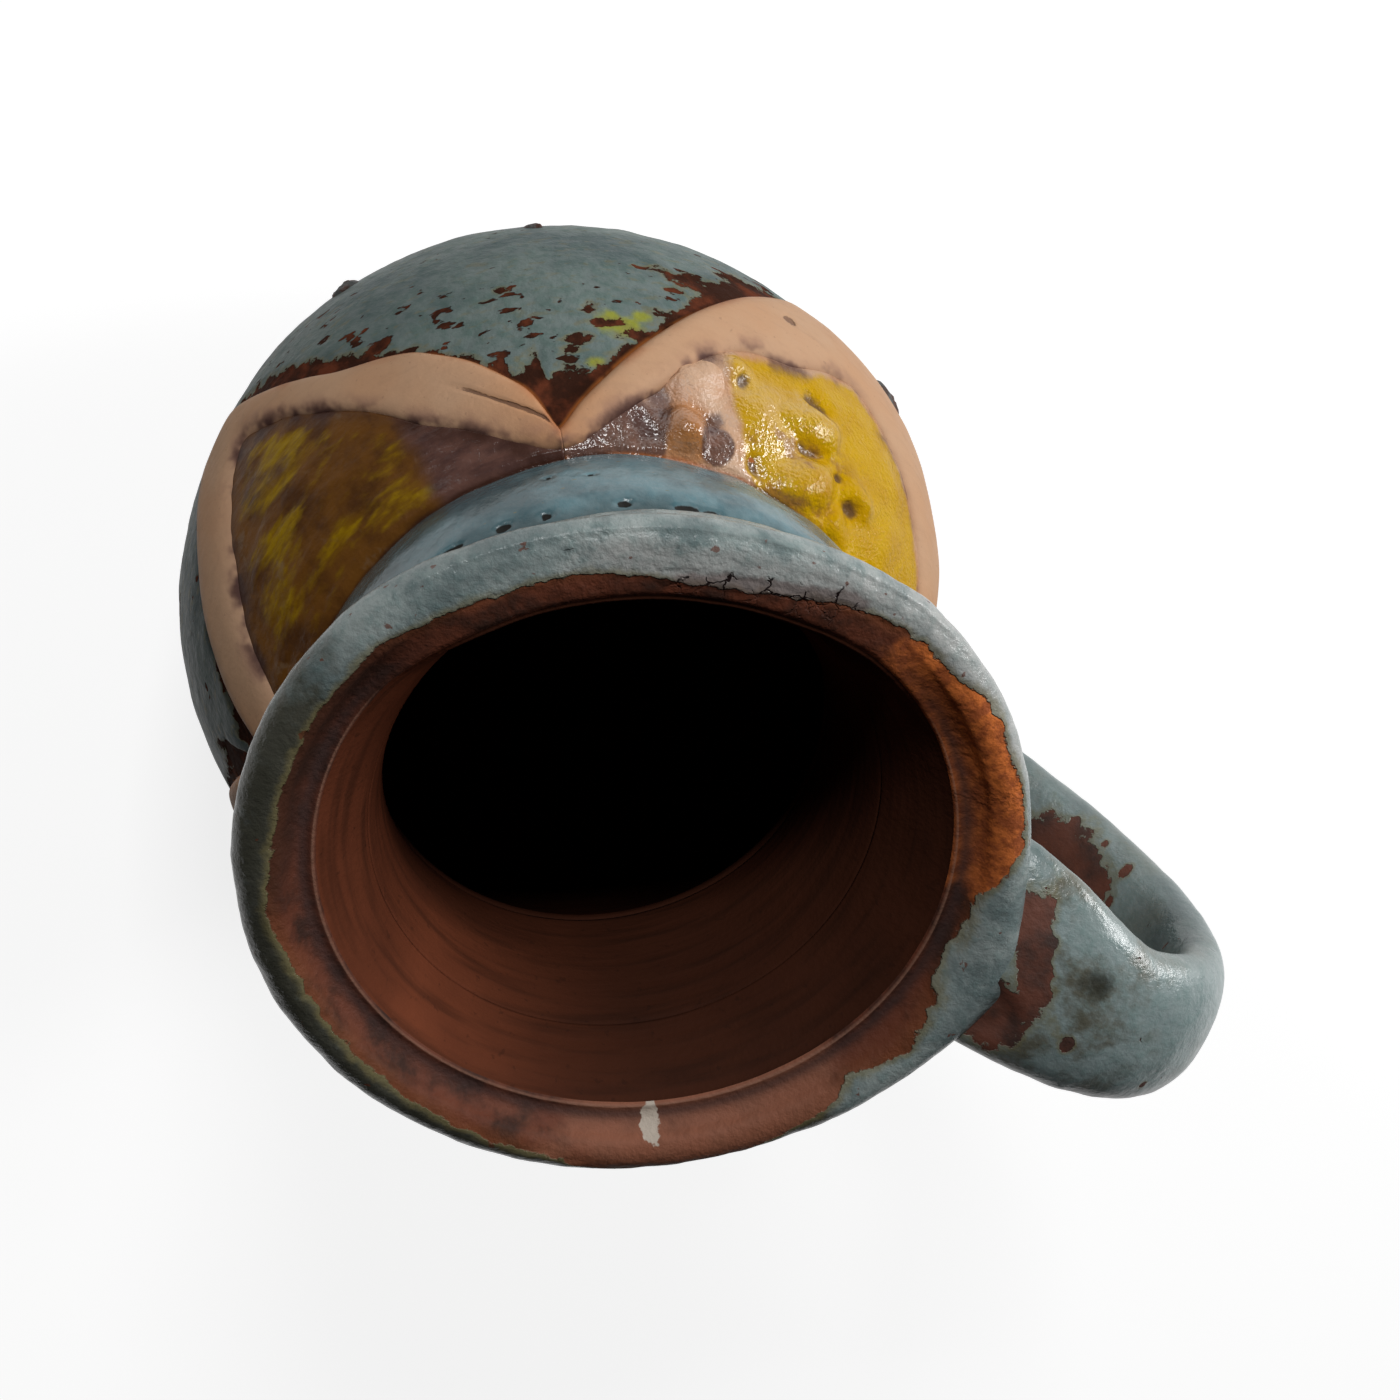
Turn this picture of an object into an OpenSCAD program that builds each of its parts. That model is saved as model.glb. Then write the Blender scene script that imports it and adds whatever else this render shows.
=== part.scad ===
// One-handled ceramic jug: a thrown body, a neck and a flared lip luted on top, a pulled
// strap handle, and an applied zigzag band that frames four glazed panels on the shoulder.
// The base lies on z = 0, the jug's axis is Z and the handle stands out along +X.

/* [Body] */
// Largest diameter of the belly
belly_d = 116; // [112:1:122]
// Height of the belly's widest ring above the base
belly_h = 46; // [43:1:49]
// Radius of the arc that rounds the belly from foot to shoulder
belly_arc_r = 55; // [53:0.5:57]
// Thickness of the thrown wall
wall_t = 6.5; // [4.5:0.5:8]
// Thickness of the floor
floor_t = 8; // [5:0.5:12]

/* [Neck] */
// Height of the seam where the neck sits on the shoulder
seam_h = 86; // [84:0.5:88]
// Diameter of the throat, the narrowest ring inside the neck
throat_d = 63; // [56:1:66]
// Height of the throat
throat_h = 95; // [91:1:99]
// How far the neck's outside swells between seam and crease
collar_swell = 1.6; // [0.8:0.2:2.4]
// Height of the crease between neck and lip
crease_h = 110; // [108:0.5:112]
// Outer diameter of the neck at the crease
crease_d = 82; // [79:1:85]

/* [Lip] */
// Diameter of the lip's outer edge before it is pulled oval
lip_d = 100; // [96:1:104]
// Height of the lip's outer edge
lip_h = 122; // [120:0.5:124]
// Radius of the lip's rounded edge
lip_edge_r = 3.2; // [2.4:0.2:4]
// How far the lip is pulled out towards the handle, and drawn in across it
lip_oval = 1.85; // [0:0.05:3]
// How far the lip's edge is drawn out into a spur over the strap's root
spur_reach = 2.2; // [0:0.1:2.4]
// How far the lip's edge is pressed in at the front
front_press = 1.6; // [0:0.1:2.4]
// Diameter of the crest line inside the lip
crest_d = 80.4; // [77:0.4:84]
// How far the crest line lies below the lip's edge
crest_drop = 1.2; // [0.4:0.2:2.4]
// Height of the small bead along the crest line
crest_bead = 0.8; // [0.4:0.1:1.2]

/* [Handle] */
// Width of the strap half-way along
strap_w = 22; // [18:1:26]
// Extra width of the strap at its two roots
root_flare = 2.4; // [0:0.2:4]
// Thickness of the strap
strap_t = 10.7; // [8:0.1:12]
// Height at which the strap's centre line leaves the crease
handle_root_h = 112; // [110.5:0.5:113.5]
// Height at which the strap lands on the belly
handle_foot_h = 55.6; // [53:0.2:58]
// How far the upper bend is drawn out past the lip
upper_bend_reach = 35; // [28:1:42]
// How far the upper bend is drawn up past the lip
upper_bend_rise = 25.8; // [22:0.2:28]
// How far the lower bend is drawn out past the belly
lower_bend_reach = 58; // [50:1:64]
// How far the lower bend is drawn up above the foot of the strap
lower_bend_rise = 44.6; // [40:0.2:48]
// Lean of the strap about its own centre line, in degrees
strap_lean = -5.7; // [-8:0.1:8]
// Leg of the clay coil that is pressed round the strap's foot
coil_leg = 4; // [2:0.5:5]

/* [Decoration] */
// Width of the zigzag band
band_w = 7.5; // [4.5:0.5:9]
// Thickness of the zigzag band
band_t = 1.8; // [1:0.2:2.6]
// Distance along the shoulder from the seam to the band's upper corners
cusp_drop = 3.2; // [2.6:0.2:5]
// Height of the band's lower corners
peak_h = 51; // [47:0.5:54]
// Thickness of the glazed panels
panel_t = 1; // [0.6:0.1:1.4]
// Radius of the larger pellets pressed on the right-hand panel
pellet_r = 4.2; // [3:0.2:4.6]
// How far the pellets stand above the panel
pellet_rise = 2; // [1:0.2:3]
// Radius of the small clay nubs on the belly
nub_r = 2; // [1.4:0.2:2.6]
// How far the nubs stand above the belly
nub_rise = 1.6; // [0.8:0.2:2]

/* [Hidden] */
// Gap between pieces that are pressed on a curved wall
seat_gap = 0.3;
// Overrun of cuts
over = 1;

// Angles of the band's upper corners about the axis, and of the lower corner after each
cusp_angles = [30, 121.5, 212, 302, 390];
peak_angles = [70, 172, 257, 344];
// Sharpness of the band's lower corners
peak_round_share = 0.22;
// Share of a limb of the band that is too narrow to hold glaze above it
panel_start_share = 0.14;

// Section of the band: share of its half width, share of its thickness
band_shares = [[1, 0], [0.86, 0.72], [0.45, 1], [-0.45, 1], [-0.86, 0.72], [-1, 0], [0, 0]];
// Section of a panel: shares of its height up the shoulder, and share of its thickness at its edges
panel_rows_shares = [0, 0.06, 0.2, 0.35, 0.5, 0.65, 0.8, 0.94, 1];
panel_edge_share = 0.75;
// Pellets: angle, height as a share of the arc from the widest ring to the seam, share of their size
pellet_places_shares = [[100.3, 0.9, 0.85], [97.5, 0.72, 0.75], [91.5, 0.65, 0.65], [75.5, 0.685, 1],
    [74.5, 0.89, 0.9], [64, 0.8, 0.95]];
// Nubs: angle, height as a share of the arc from the widest ring to the seam
nub_places_shares = [[118, -0.26], [148, -0.3], [57, -0.02]];

strap_sides = 20;
strap_rings = 28;
// Squareness of the strap's section: 1 is an ellipse, less is fuller
strap_full_share = 0.75;
// Shares of the strap's centre line at its root, first free ring, last free ring
strap_root_share = 0.04;
strap_first_share = 0.19;
strap_last_share = 0.96;
lip_sides = 96;
band_rings = 28;
panel_rings = 26;
flare_steps = 5;
edge_steps = 7;
under_steps = 5;
// Angles over which the spur fades on each side of the strap
spur_ahead = 26;
spur_behind = 40;
// Middle and half of the stretch of the lip that is pressed in
press_angle = 115;
press_half_angle = 50;
// Angles between which the lip's rounded edge runs
edge_start = 125;
edge_end = -55;

belly_r = belly_d / 2;
belly_off = belly_r - belly_arc_r;
throat_r = throat_d / 2;
crease_r = crease_d / 2;
lip_r = lip_d / 2;
crest_r = crest_d / 2;
crest_h = lip_h - crest_drop;
seam_r = belly_radius(seam_h);
seam_angle = belly_angle(seam_h);
cusp_angle = seam_angle - degrees_of(cusp_drop);
peak_angle = belly_angle(peak_h);
// Arc of the bell-shaped inner wall from the throat to the crest line
flare_r = (pow(crest_r - throat_r, 2) + pow(crest_h - throat_h, 2)) / (2 * (crest_r - throat_r));
lip_edge_c = [lip_r - lip_edge_r, lip_h];
lip_under = lip_edge_c + lip_edge_r * [cos(edge_end), sin(edge_end)];
// Chord and arc of the neck's swelling outside
neck_low = [seam_r, seam_h];
neck_high = [crease_r, crease_h];
neck_chord = norm(neck_high - neck_low);
neck_arc_r = (pow(neck_chord / 2, 2) + pow(collar_swell, 2)) / (2 * collar_swell);
neck_side = [neck_high.y - neck_low.y, neck_low.x - neck_high.x] / neck_chord;
neck_arc_c = (neck_low + neck_high) / 2 - (neck_arc_r - collar_swell) * neck_side;
// Control points of the strap's centre line, as radius and height
strap_p0 = [crease_r, handle_root_h];
strap_p1 = [lip_r + upper_bend_reach, lip_h + upper_bend_rise];
strap_p2 = [belly_r + lower_bend_reach, handle_foot_h + lower_bend_rise];
strap_p3 = [belly_radius(handle_foot_h), handle_foot_h];
// Room that the strap's foot and its coil take on the belly
foot_half_w = (strap_w + root_flare) / 2 + coil_leg + 2 * seat_gap;
foot_half_angle = asin(foot_half_w / belly_radius(handle_foot_h)) + 1;
foot_top_angle = belly_angle(handle_foot_h) + degrees_of(strap_t / 2 + coil_leg + strap_t / 4);

// The belly's outside: radius at a height, and angle on its arc at a height
function belly_radius(z) = belly_off + sqrt(pow(belly_arc_r, 2) - pow(z - belly_h, 2));
function belly_angle(z) = asin((z - belly_h) / belly_arc_r);
// Angle that a length along the belly's arc spans
function degrees_of(length) = length / belly_arc_r * 180 / PI;
// A point above the belly's outside: angle about the axis, angle on the arc, height above it
function belly_point(az, el, height) =
    let (r = belly_off + (belly_arc_r + height) * cos(el))
    [r * cos(az), r * sin(az), belly_h + (belly_arc_r + height) * sin(el)];

// Radius of the inner wall between the body's mouth and the crest line
function flare_radius(z) = throat_r + flare_r - sqrt(pow(flare_r, 2) - pow(z - throat_h, 2));
// Radius of the neck's outside
function neck_radius(z) = neck_arc_c.x + sqrt(pow(neck_arc_r, 2) - pow(z - neck_arc_c.y, 2));
// Radius of the lip's outside, before it is pulled oval
function lip_radius(z) = z < lip_under.y
    ? crease_r + (lip_under.x - crease_r) * (z - crease_h) / (lip_under.y - crease_h)
    : lip_edge_c.x + sqrt(max(0, pow(lip_edge_r, 2) - pow(z - lip_h, 2)));
// Shares of the spur and of the front press at an angle about the axis
function spur_share(az) =
    let (turn = az > 180 ? az - 360 : az)
    let (a = turn > 0 ? turn / spur_ahead : -turn / spur_behind)
    a < 1 ? pow(cos(90 * a), 2) : 0;
function press_share(az) =
    let (a = abs(az - press_angle) / press_half_angle)
    a < 1 ? pow(cos(90 * a), 2) : 0;
// How far a point of the lip is pulled: nothing at the crease, all of it at the edge
function lip_pull(r, z, az) =
    let (s = min(1, max(0, (z - crease_h) / (lip_h - crease_h))))
    let (outer_share = min(1, max(0, (r - crest_r) / (lip_r - crest_r))))
    let (edge_pull = spur_reach * spur_share(az) - front_press * press_share(az))
    s * s * (3 - 2 * s) * (lip_oval * r / lip_r * cos(2 * az) + outer_share * edge_pull);

// Side faces of a row of rings, each running anticlockwise about the row
function ring_faces(rows, sides, closed) = [
    for (i = [0:rows - (closed ? 1 : 2)], k = [0:sides - 1])
        let (a = i * sides + k, b = i * sides + (k + 1) % sides)
        let (j = (i + 1) % rows, c = j * sides + (k + 1) % sides, d = j * sides + k)
        each [[a, d, c], [a, c, b]]];
// Faces that close a ring, in strips from each point to the one across from it
function cap_faces(first, sides) = [
    for (k = [0:floor(sides / 2) - 1])
        let (across = sides - 1 - k)
        each [
            if (k + 1 < across - 1) [first + k, first + k + 1, first + across - 1],
            if (k < across - 1) [first + k, first + across - 1, first + across]]];
function turned(faces) = [for (f = faces) [f[2], f[1], f[0]]];

// A solid through a row of rings, closed at each end
module loft(rings) {
    sides = len(rings[0]);
    rows = len(rings);
    start_cap = cap_faces(0, sides);
    end_cap = turned(cap_faces((rows - 1) * sides, sides));
    polyhedron([for (ring = rings) each ring], concat(ring_faces(rows, sides, false), start_cap, end_cap));
}

// A solid through rings that come back to the first one
module loft_ring(rings) {
    polyhedron([for (ring = rings) each ring], ring_faces(len(rings), len(rings[0]), true));
}

// Half of the belly's outline, grown by a height
module belly_outline(grow) {
    intersection() {
        translate([belly_off, belly_h])
            circle(r = belly_arc_r + grow, $fn = 128);
        translate([0, -belly_arc_r])
            square([belly_d, 2 * belly_d]);
    }
}

// Thrown body: a round shell with a flat floor, open at the seam
module body() {
    color("#7893a0")
        rotate_extrude($fn = 128)
            difference() {
                intersection() {
                    belly_outline(0);
                    square([belly_d, seam_h]);
                }
                intersection() {
                    belly_outline(-wall_t);
                    translate([0, floor_t])
                        square([belly_d, seam_h]);
                }
                translate([0, seam_h / 2])
                    square([flare_radius(seam_h), seam_h]);
            }
}

// Neck: a short swelling collar whose inside narrows to the throat
module neck() {
    color("#6d97ad")
        rotate_extrude($fn = 128)
            difference() {
                intersection() {
                    translate(neck_arc_c)
                        circle(r = neck_arc_r, $fn = 256);
                    translate([0, seam_h])
                        square([belly_d, crease_h - seam_h]);
                }
                translate([0, seam_h - over])
                    square([throat_r, crease_h - seam_h + 2 * over]);
                difference() {
                    translate([0, seam_h - over])
                        square([flare_radius(crease_h), crease_h - seam_h + 2 * over]);
                    translate([throat_r + flare_r, throat_h])
                        circle(r = flare_r, $fn = 256);
                }
            }
}

// Outline of the lip, clockwise from the inner end of the crease
lip_outline = concat(
    [for (i = [0:flare_steps])
        let (z = crease_h + (crest_h - crease_h) * i / flare_steps)
        [flare_radius(z), z]],
    [[crest_r + crest_bead / 2, crest_h + crest_bead]],
    [[crest_r + 2 * crest_bead, crest_h + crest_bead]],
    [for (i = [0:edge_steps])
        let (a = edge_start + (edge_end - edge_start) * i / edge_steps)
        lip_edge_c + lip_edge_r * [cos(a), sin(a)]],
    [for (i = [1:under_steps])
        let (z = lip_under.y + (crease_h - lip_under.y) * i / under_steps)
        [lip_radius(z), z]]);

// Lip: flared and thick, round where it is luted to the neck, its edge pulled oval and drawn over the strap
module lip() {
    color("#8aa0a2")
        loft_ring([for (i = [0:lip_sides - 1])
            let (az = 360 * i / lip_sides)
            [for (p = lip_outline)
                let (r = p.x + lip_pull(p.x, p.y, az))
                [r * cos(az), r * sin(az), p.y]]]);
}

// Centre line of the strap, and its direction
function strap_centre(t) = pow(1 - t, 3) * strap_p0 + 3 * pow(1 - t, 2) * t * strap_p1
    + 3 * (1 - t) * pow(t, 2) * strap_p2 + pow(t, 3) * strap_p3;
function strap_heading(t) =
    let (v = pow(1 - t, 2) * (strap_p1 - strap_p0) + 2 * (1 - t) * t * (strap_p2 - strap_p1)
        + pow(t, 2) * (strap_p3 - strap_p2))
    v / norm(v);
function fuller(x) = sign(x) * pow(abs(x), strap_full_share);

// A point on the strap's surface, grown by a clearance
function strap_point(t, k, grow = 0) =
    let (a = 360 * (k + 0.5) / strap_sides, c = strap_centre(t), d = strap_heading(t))
    let (wide = (strap_w + root_flare * pow(2 * t - 1, 2)) / 2 + grow)
    let (across = wide * fuller(cos(a)), up = (strap_t / 2 + grow) * fuller(sin(a)))
    let (y = across * cos(strap_lean) - up * sin(strap_lean))
    let (h = across * sin(strap_lean) + up * cos(strap_lean))
    [c.x - h * d.y, y, c.y + h * d.x];

// The strap's root lies against the underside of the lip, its foot against the belly
function root_seat(k) =
    let (p = strap_point(strap_root_share, k))
    let (wall = p.z < crease_h ? neck_radius(p.z) : lip_radius(p.z))
    let (r = wall + lip_pull(wall, p.z, asin(p.y / wall)) + seat_gap)
    [sqrt(pow(r, 2) - pow(p.y, 2)), p.y, p.z];
function foot_seat(k, grow = 0) =
    let (p = strap_point(1, k, grow), r = belly_radius(p.z) + seat_gap)
    [sqrt(pow(r, 2) - pow(p.y, 2)), p.y, p.z];

// Handle: a pulled strap that springs from under the lip and lands on the belly
module handle() {
    free_share = strap_last_share - strap_first_share;
    color("#7f9ca6")
        loft(concat(
            [[for (k = [0:strap_sides - 1]) root_seat(k)]],
            [for (i = [0:strap_rings])
                [for (k = [0:strap_sides - 1])
                    strap_point(strap_first_share + free_share * i / strap_rings, k)]],
            [[for (k = [0:strap_sides - 1]) foot_seat(k)]]));
}

// Coil of clay pressed into the corner between the strap's foot and the belly
module handle_foot_coil() {
    color("#86a3ad")
        loft_ring([for (k = [0:strap_sides - 1])
            [foot_seat(k, seat_gap),
                foot_seat(k, seat_gap + coil_leg),
                strap_point(strap_last_share, k, seat_gap)]]);
}

// Middle line of the zigzag band: angle on the belly's arc at an angle about the axis
function limb_share(az, tooth) = az < peak_angles[tooth]
    ? (peak_angles[tooth] - az) / (peak_angles[tooth] - cusp_angles[tooth])
    : (az - peak_angles[tooth]) / (cusp_angles[tooth + 1] - peak_angles[tooth]);
function corner(u) = sqrt(u * u + pow(peak_round_share, 2)) - peak_round_share;
function band_angle(az, tooth) = peak_angle
    + (cusp_angle - peak_angle) * corner(limb_share(az, tooth)) / corner(1);
// Half of the band's width as an angle on the arc, wider where the band runs steeply
function band_half_angle(az, tooth) =
    let (rise = band_angle(az + 0.5, tooth) - band_angle(az - 0.5, tooth))
    let (slope = rise * belly_arc_r / (belly_off + belly_arc_r * cos(band_angle(az, tooth))))
    degrees_of(band_w / 2) * sqrt(1 + slope * slope);
function band_top(az, tooth) =
    min(seam_angle - degrees_of(seat_gap), band_angle(az, tooth) + band_half_angle(az, tooth));
function band_bottom(az, tooth) = band_angle(az, tooth) - band_half_angle(az, tooth);

// One stretch of the band between two angles about the axis
module band_strip(tooth, start, stop) {
    loft([for (i = [0:band_rings])
        let (az = start + (stop - start) * i / band_rings)
        let (low = band_bottom(az, tooth), high = band_top(az, tooth))
        [for (s = band_shares)
            belly_point(az, (low + high) / 2 + s.x * (high - low) / 2, seat_gap + s.y * band_t)]]);
}

// A tooth of the band, mitred at its upper corners and broken where the strap's foot lands
module band(tooth) {
    mitre = degrees_of(seat_gap);
    start = cusp_angles[tooth] + mitre;
    stop = cusp_angles[tooth + 1] - mitre;
    foot_start = 360 - foot_half_angle;
    foot_stop = 360 + foot_half_angle;
    color("#d9b48c") {
        if (stop < foot_start)
            band_strip(tooth, start, stop);
        else {
            band_strip(tooth, start, foot_start);
            band_strip(tooth, foot_stop, stop);
        }
    }
}

// Section of a panel, anticlockwise about the way round the shoulder: height share, thickness share
function panel_section() =
    let (n = len(panel_rows_shares) - 1)
    concat(
        [for (i = [n:-1:0])
            let (edge = i == 0 || i == n)
            [panel_rows_shares[i], edge ? panel_edge_share : 1]],
        [for (i = [0:n]) [panel_rows_shares[i], 0]]);

// Lower edge of a panel: clear of the band and of the strap's foot
function panel_bottom(az, tooth) =
    let (edge = band_top(az, tooth) + degrees_of(seat_gap))
    abs(az - 360) < foot_half_angle + 360 / panel_rings / 2 ? max(edge, foot_top_angle) : edge;

// Glaze pooled between the band and the neck
module panel(tooth, tint) {
    start = cusp_angles[tooth] + panel_start_share * (peak_angles[tooth] - cusp_angles[tooth]);
    stop = cusp_angles[tooth + 1] - panel_start_share * (cusp_angles[tooth + 1] - peak_angles[tooth]);
    top = seam_angle - degrees_of(seat_gap);
    color(tint)
        loft([for (i = [0:panel_rings])
            let (az = start + (stop - start) * i / panel_rings)
            let (bottom = panel_bottom(az, tooth))
            [for (s = panel_section())
                belly_point(az, bottom + s.x * (top - bottom), seat_gap + s.y * panel_t)]]);
}

module band_right() {
    band(0);
}

module band_front() {
    band(1);
}

module band_left() {
    band(2);
}

module band_back() {
    band(3);
}

module panel_right() {
    panel(0, "#c8ae1c");
}

module panel_front() {
    panel(1, "#7a6420");
}

module panel_left() {
    panel(2, "#c8ae1c");
}

module panel_back() {
    panel(3, "#7a6420");
}

// A flattened round lump seated on the belly's outside at an angle and a height above it
module lump(az, el, height, base_r, rise) {
    dome_r = (pow(base_r, 2) + pow(rise, 2)) / (2 * rise);
    translate(belly_point(az, el, height))
        rotate([0, 90 - el, az])
            rotate_extrude($fn = 48)
                intersection() {
                    translate([0, rise - dome_r])
                        circle(r = dome_r, $fn = 64);
                    square([base_r, rise]);
                }
}

// Flattened clay pellets under the glaze of the right-hand panel
module relief_pellets() {
    color("#cf9f63")
        for (p = pellet_places_shares)
            lump(p.x, p.y * seam_angle, panel_t + 2 * seat_gap, pellet_r * p.z, pellet_rise * p.z);
}

// Small nubs of clay left on the belly
module belly_nubs() {
    color("#5a3a2c")
        for (p = nub_places_shares)
            lump(p.x, p.y * seam_angle, seat_gap, nub_r, nub_rise);
}

body();
neck();
lip();
handle();
handle_foot_coil();
band_right();
band_front();
band_left();
band_back();
panel_right();
panel_front();
panel_left();
panel_back();
relief_pellets();
belly_nubs();
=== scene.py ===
"""A one-handled glazed jug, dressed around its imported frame.

The frame's axes are kept: the base lies on z = 0, the jug's axis is Z and the handle stands out
along +X. Angles about the axis are in degrees from the handle; angles on the belly are measured
on the arc of its outline, from the widest ring upwards.
"""

import math

import bpy
import numpy as np
from bpy.props import FloatProperty, FloatVectorProperty, IntProperty, PointerProperty
from mathutils import Matrix, Vector


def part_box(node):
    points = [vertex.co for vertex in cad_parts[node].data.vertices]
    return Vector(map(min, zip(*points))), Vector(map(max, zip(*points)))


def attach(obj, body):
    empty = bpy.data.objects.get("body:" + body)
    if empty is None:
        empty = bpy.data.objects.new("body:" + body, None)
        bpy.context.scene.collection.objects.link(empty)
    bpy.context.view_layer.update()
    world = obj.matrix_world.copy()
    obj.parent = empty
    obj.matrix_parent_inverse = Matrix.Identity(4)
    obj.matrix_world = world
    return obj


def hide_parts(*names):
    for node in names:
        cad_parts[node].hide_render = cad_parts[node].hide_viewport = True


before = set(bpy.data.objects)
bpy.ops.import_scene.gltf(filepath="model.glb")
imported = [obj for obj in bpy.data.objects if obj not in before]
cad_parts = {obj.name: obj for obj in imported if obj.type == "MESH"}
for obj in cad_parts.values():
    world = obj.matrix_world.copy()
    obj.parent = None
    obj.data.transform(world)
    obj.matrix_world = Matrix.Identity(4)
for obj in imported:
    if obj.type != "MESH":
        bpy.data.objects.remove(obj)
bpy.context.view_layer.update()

bl_info = {
    "name": "Glazed jug",
    "version": (1, 0, 0),
    "blender": (4, 5, 0),
    "location": "View3D > Sidebar > Jug",
    "description": "Makes a hand-built glazed jug with a strap handle and a zigzag band",
    "category": "Add Mesh",
}

MM = 0.001

# The zigzag band: angle about the axis and angle on the belly along each of its two edges
RIGHT_BELLY_EDGE = ((28, 42), (33, 30), (40, 20.6), (46, 17.5), (52, 11), (57, 4.5), (64, 2.5),
                    (74, 1.5), (81, 2.5), (90.6, 11.6), (97, 18.7), (104.4, 26.1), (112, 33.3),
                    (119, 39.4), (122.5, 42.4))
RIGHT_PANEL_EDGE = ((28, 45.6), (34, 40), (41, 33.5), (48.6, 28.6), (57.2, 22.4), (64, 18.5), (70, 17),
                    (76, 19.5), (82, 24), (90.6, 25.6), (97.5, 30.2), (105, 37), (112, 41.7), (118, 45),
                    (122.5, 45.7))
FRONT_BELLY_EDGE = ((122.5, 42.4), (125, 36.3), (132.6, 28.4), (140, 22), (152, 16.5), (158, 11.6),
                    (164, 5.5), (169.5, 0), (178.7, 2.6), (187, 14.3), (195.4, 23.3), (203.6, 31.5),
                    (208.6, 37), (212, 42))
FRONT_PANEL_EDGE = ((122.5, 45.7), (126, 45.4), (132.4, 42.3), (143.5, 35.4), (151, 27.7),
                    (161.4, 17.2), (169.3, 11.1), (174, 15.2), (182.6, 26.6), (191.2, 34.7),
                    (197.5, 41.3), (206, 45.2), (212, 45.7))
# Each tooth of the band: the edges that it follows, and the angles between which it is laid
TEETH = {
    "right": (RIGHT_BELLY_EDGE, RIGHT_PANEL_EDGE, 28, 122.5),
    "front": (FRONT_BELLY_EDGE, FRONT_PANEL_EDGE, 122.5, 212),
    "left": (RIGHT_BELLY_EDGE, RIGHT_PANEL_EDGE, 212, 302),
    "back": (FRONT_BELLY_EDGE, FRONT_PANEL_EDGE, 302, 388),
}
# Angles between which the strap's foot stands on the belly
FOOT_SPAN = (342, 378)

# A crease pressed into the front tooth: angle and angle on the belly
FRONT_CREASE = ((122.5, 43.6), (124.6, 41), (131, 36.7), (137, 32), (141, 30))

# Width of the bare margin below the band, in millimetres, at angles about the axis
MARGIN_WIDTHS = ((0, 1.5), (28, 4), (33, 2), (60, 2.2), (76, 3.4), (86, 5.2), (93, 4.6), (98, 2.8),
                 (104, 1.2), (110, 1.1), (116, 2.2), (120.5, 6), (122.5, 7), (124.5, 3), (128, 1.2),
                 (136, 0.6), (143, 0.8), (150, 3.0), (158, 4.4), (166, 3.6), (175, 2.6), (190, 1.4),
                 (205, 2.5), (212, 6), (219, 2), (240, 1.2), (262, 3), (290, 1.2), (302, 6), (309, 1.6),
                 (342, 2.2), (360, 1.5))
# Bare patches in the belly's glaze: angle, angle on the belly, radius in millimetres along and up
BARE_PATCHES = ((125.9, 14.4, 1.1, 0.9), (98, 9.6, 4.4, 1.6), (93.6, 11.5, 5.2, 2.6),
                (86.4, 2.8, 5, 2.6), (103, 21.4, 1.6, 0.8), (147.8, 16.5, 3.2, 1.0),
                (142, 20.5, 1.8, 0.8), (157, 10, 1.4, 0.8), (112, 24.5, 2.2, 0.8),
                (116.5, 27.5, 2.0, 0.8), (118.5, 29.5, 1.1, 0.8), (108, 26.6, 2.2, 0.9),
                (114, 21, 1.0, 1.2), (90, 5, 1.6, 0.8), (101, 14.5, 1.4, 0.7), (105, 9, 1.0, 0.6),
                (240, 10, 2.4, 1.0), (262, -6, 1.6, 0.9), (305, 18, 3, 1.2), (200, 4, 2.2, 0.9),
                (55, -8, 2.4, 1.0), (30, -14, 1.8, 0.9), (330, -20, 2.6, 1.0), (280, -28, 1.6, 0.9))
# Yellow-green stains in the belly's glaze, in the same form
MOSS_PATCHES = ((109.4, 25.2, 3.4, 2.4), (111.4, 24.2, 2.6, 2.6), (106.6, 22.6, 1.8, 1.4),
                (114.6, 31.8, 1.6, 1.2), (292, 24, 3, 2))

# The right-hand panel's relief: angle, angle on the belly, radius and rise in millimetres
RELIEF_LUMPS = ((100.3, 42.6, 4.2, 1.5), (99, 34.6, 5.0, 0.9), (92.5, 30.2, 4.6, 1.0),
                (86, 36, 5.5, 0.6), (76, 31.8, 5.5, 1.1), (74.5, 42.2, 5.2, 1.4), (64, 37.5, 5.0, 1.0),
                (65.5, 45, 3.0, 0.9), (60, 28, 7.0, 0.5), (54, 38, 6.5, 0.4))
RELIEF_PITS = ((88.7, 32.4, 1.5, 0.7), (78.2, 27.0, 2.2, 0.9), (76.5, 36.9, 1.5, 1.3),
               (83.5, 44.2, 1.5, 1.1), (64.2, 41.2, 1.5, 1.1), (94.5, 40.5, 2.2, 0.5),
               (105, 38.8, 2.6, 0.6), (70, 37.6, 1.2, 0.7), (109, 43.6, 2.4, 0.4))
# Where the yellow ends on the right-hand panel: angle on the belly and angle about the axis
YELLOW_EDGE = ((20, 93), (30, 94), (36, 92), (39, 90), (45, 88.5), (48, 82))

# Glaze edge on top of the lip: angle and radius in millimetres, with glaze outside it
LIP_GLAZE_EDGE = ((0, 43.2), (10, 43.6), (15, 44.5), (19, 46.4), (24, 48.6), (44, 48), (51, 48.4),
                  (57, 46.2), (66, 46), (80, 45), (90, 43.4), (98, 42.4), (110, 42.5), (118, 43.4),
                  (126, 44.3), (138, 44.2), (152, 45), (159, 45.7), (198, 45.6), (207, 46.7),
                  (221, 45.4), (254, 46.2), (280, 47.3), (289, 49.2), (307, 50.4), (321, 47.6),
                  (334, 44.6), (343, 46), (352, 44.6), (360, 43.2))
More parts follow.
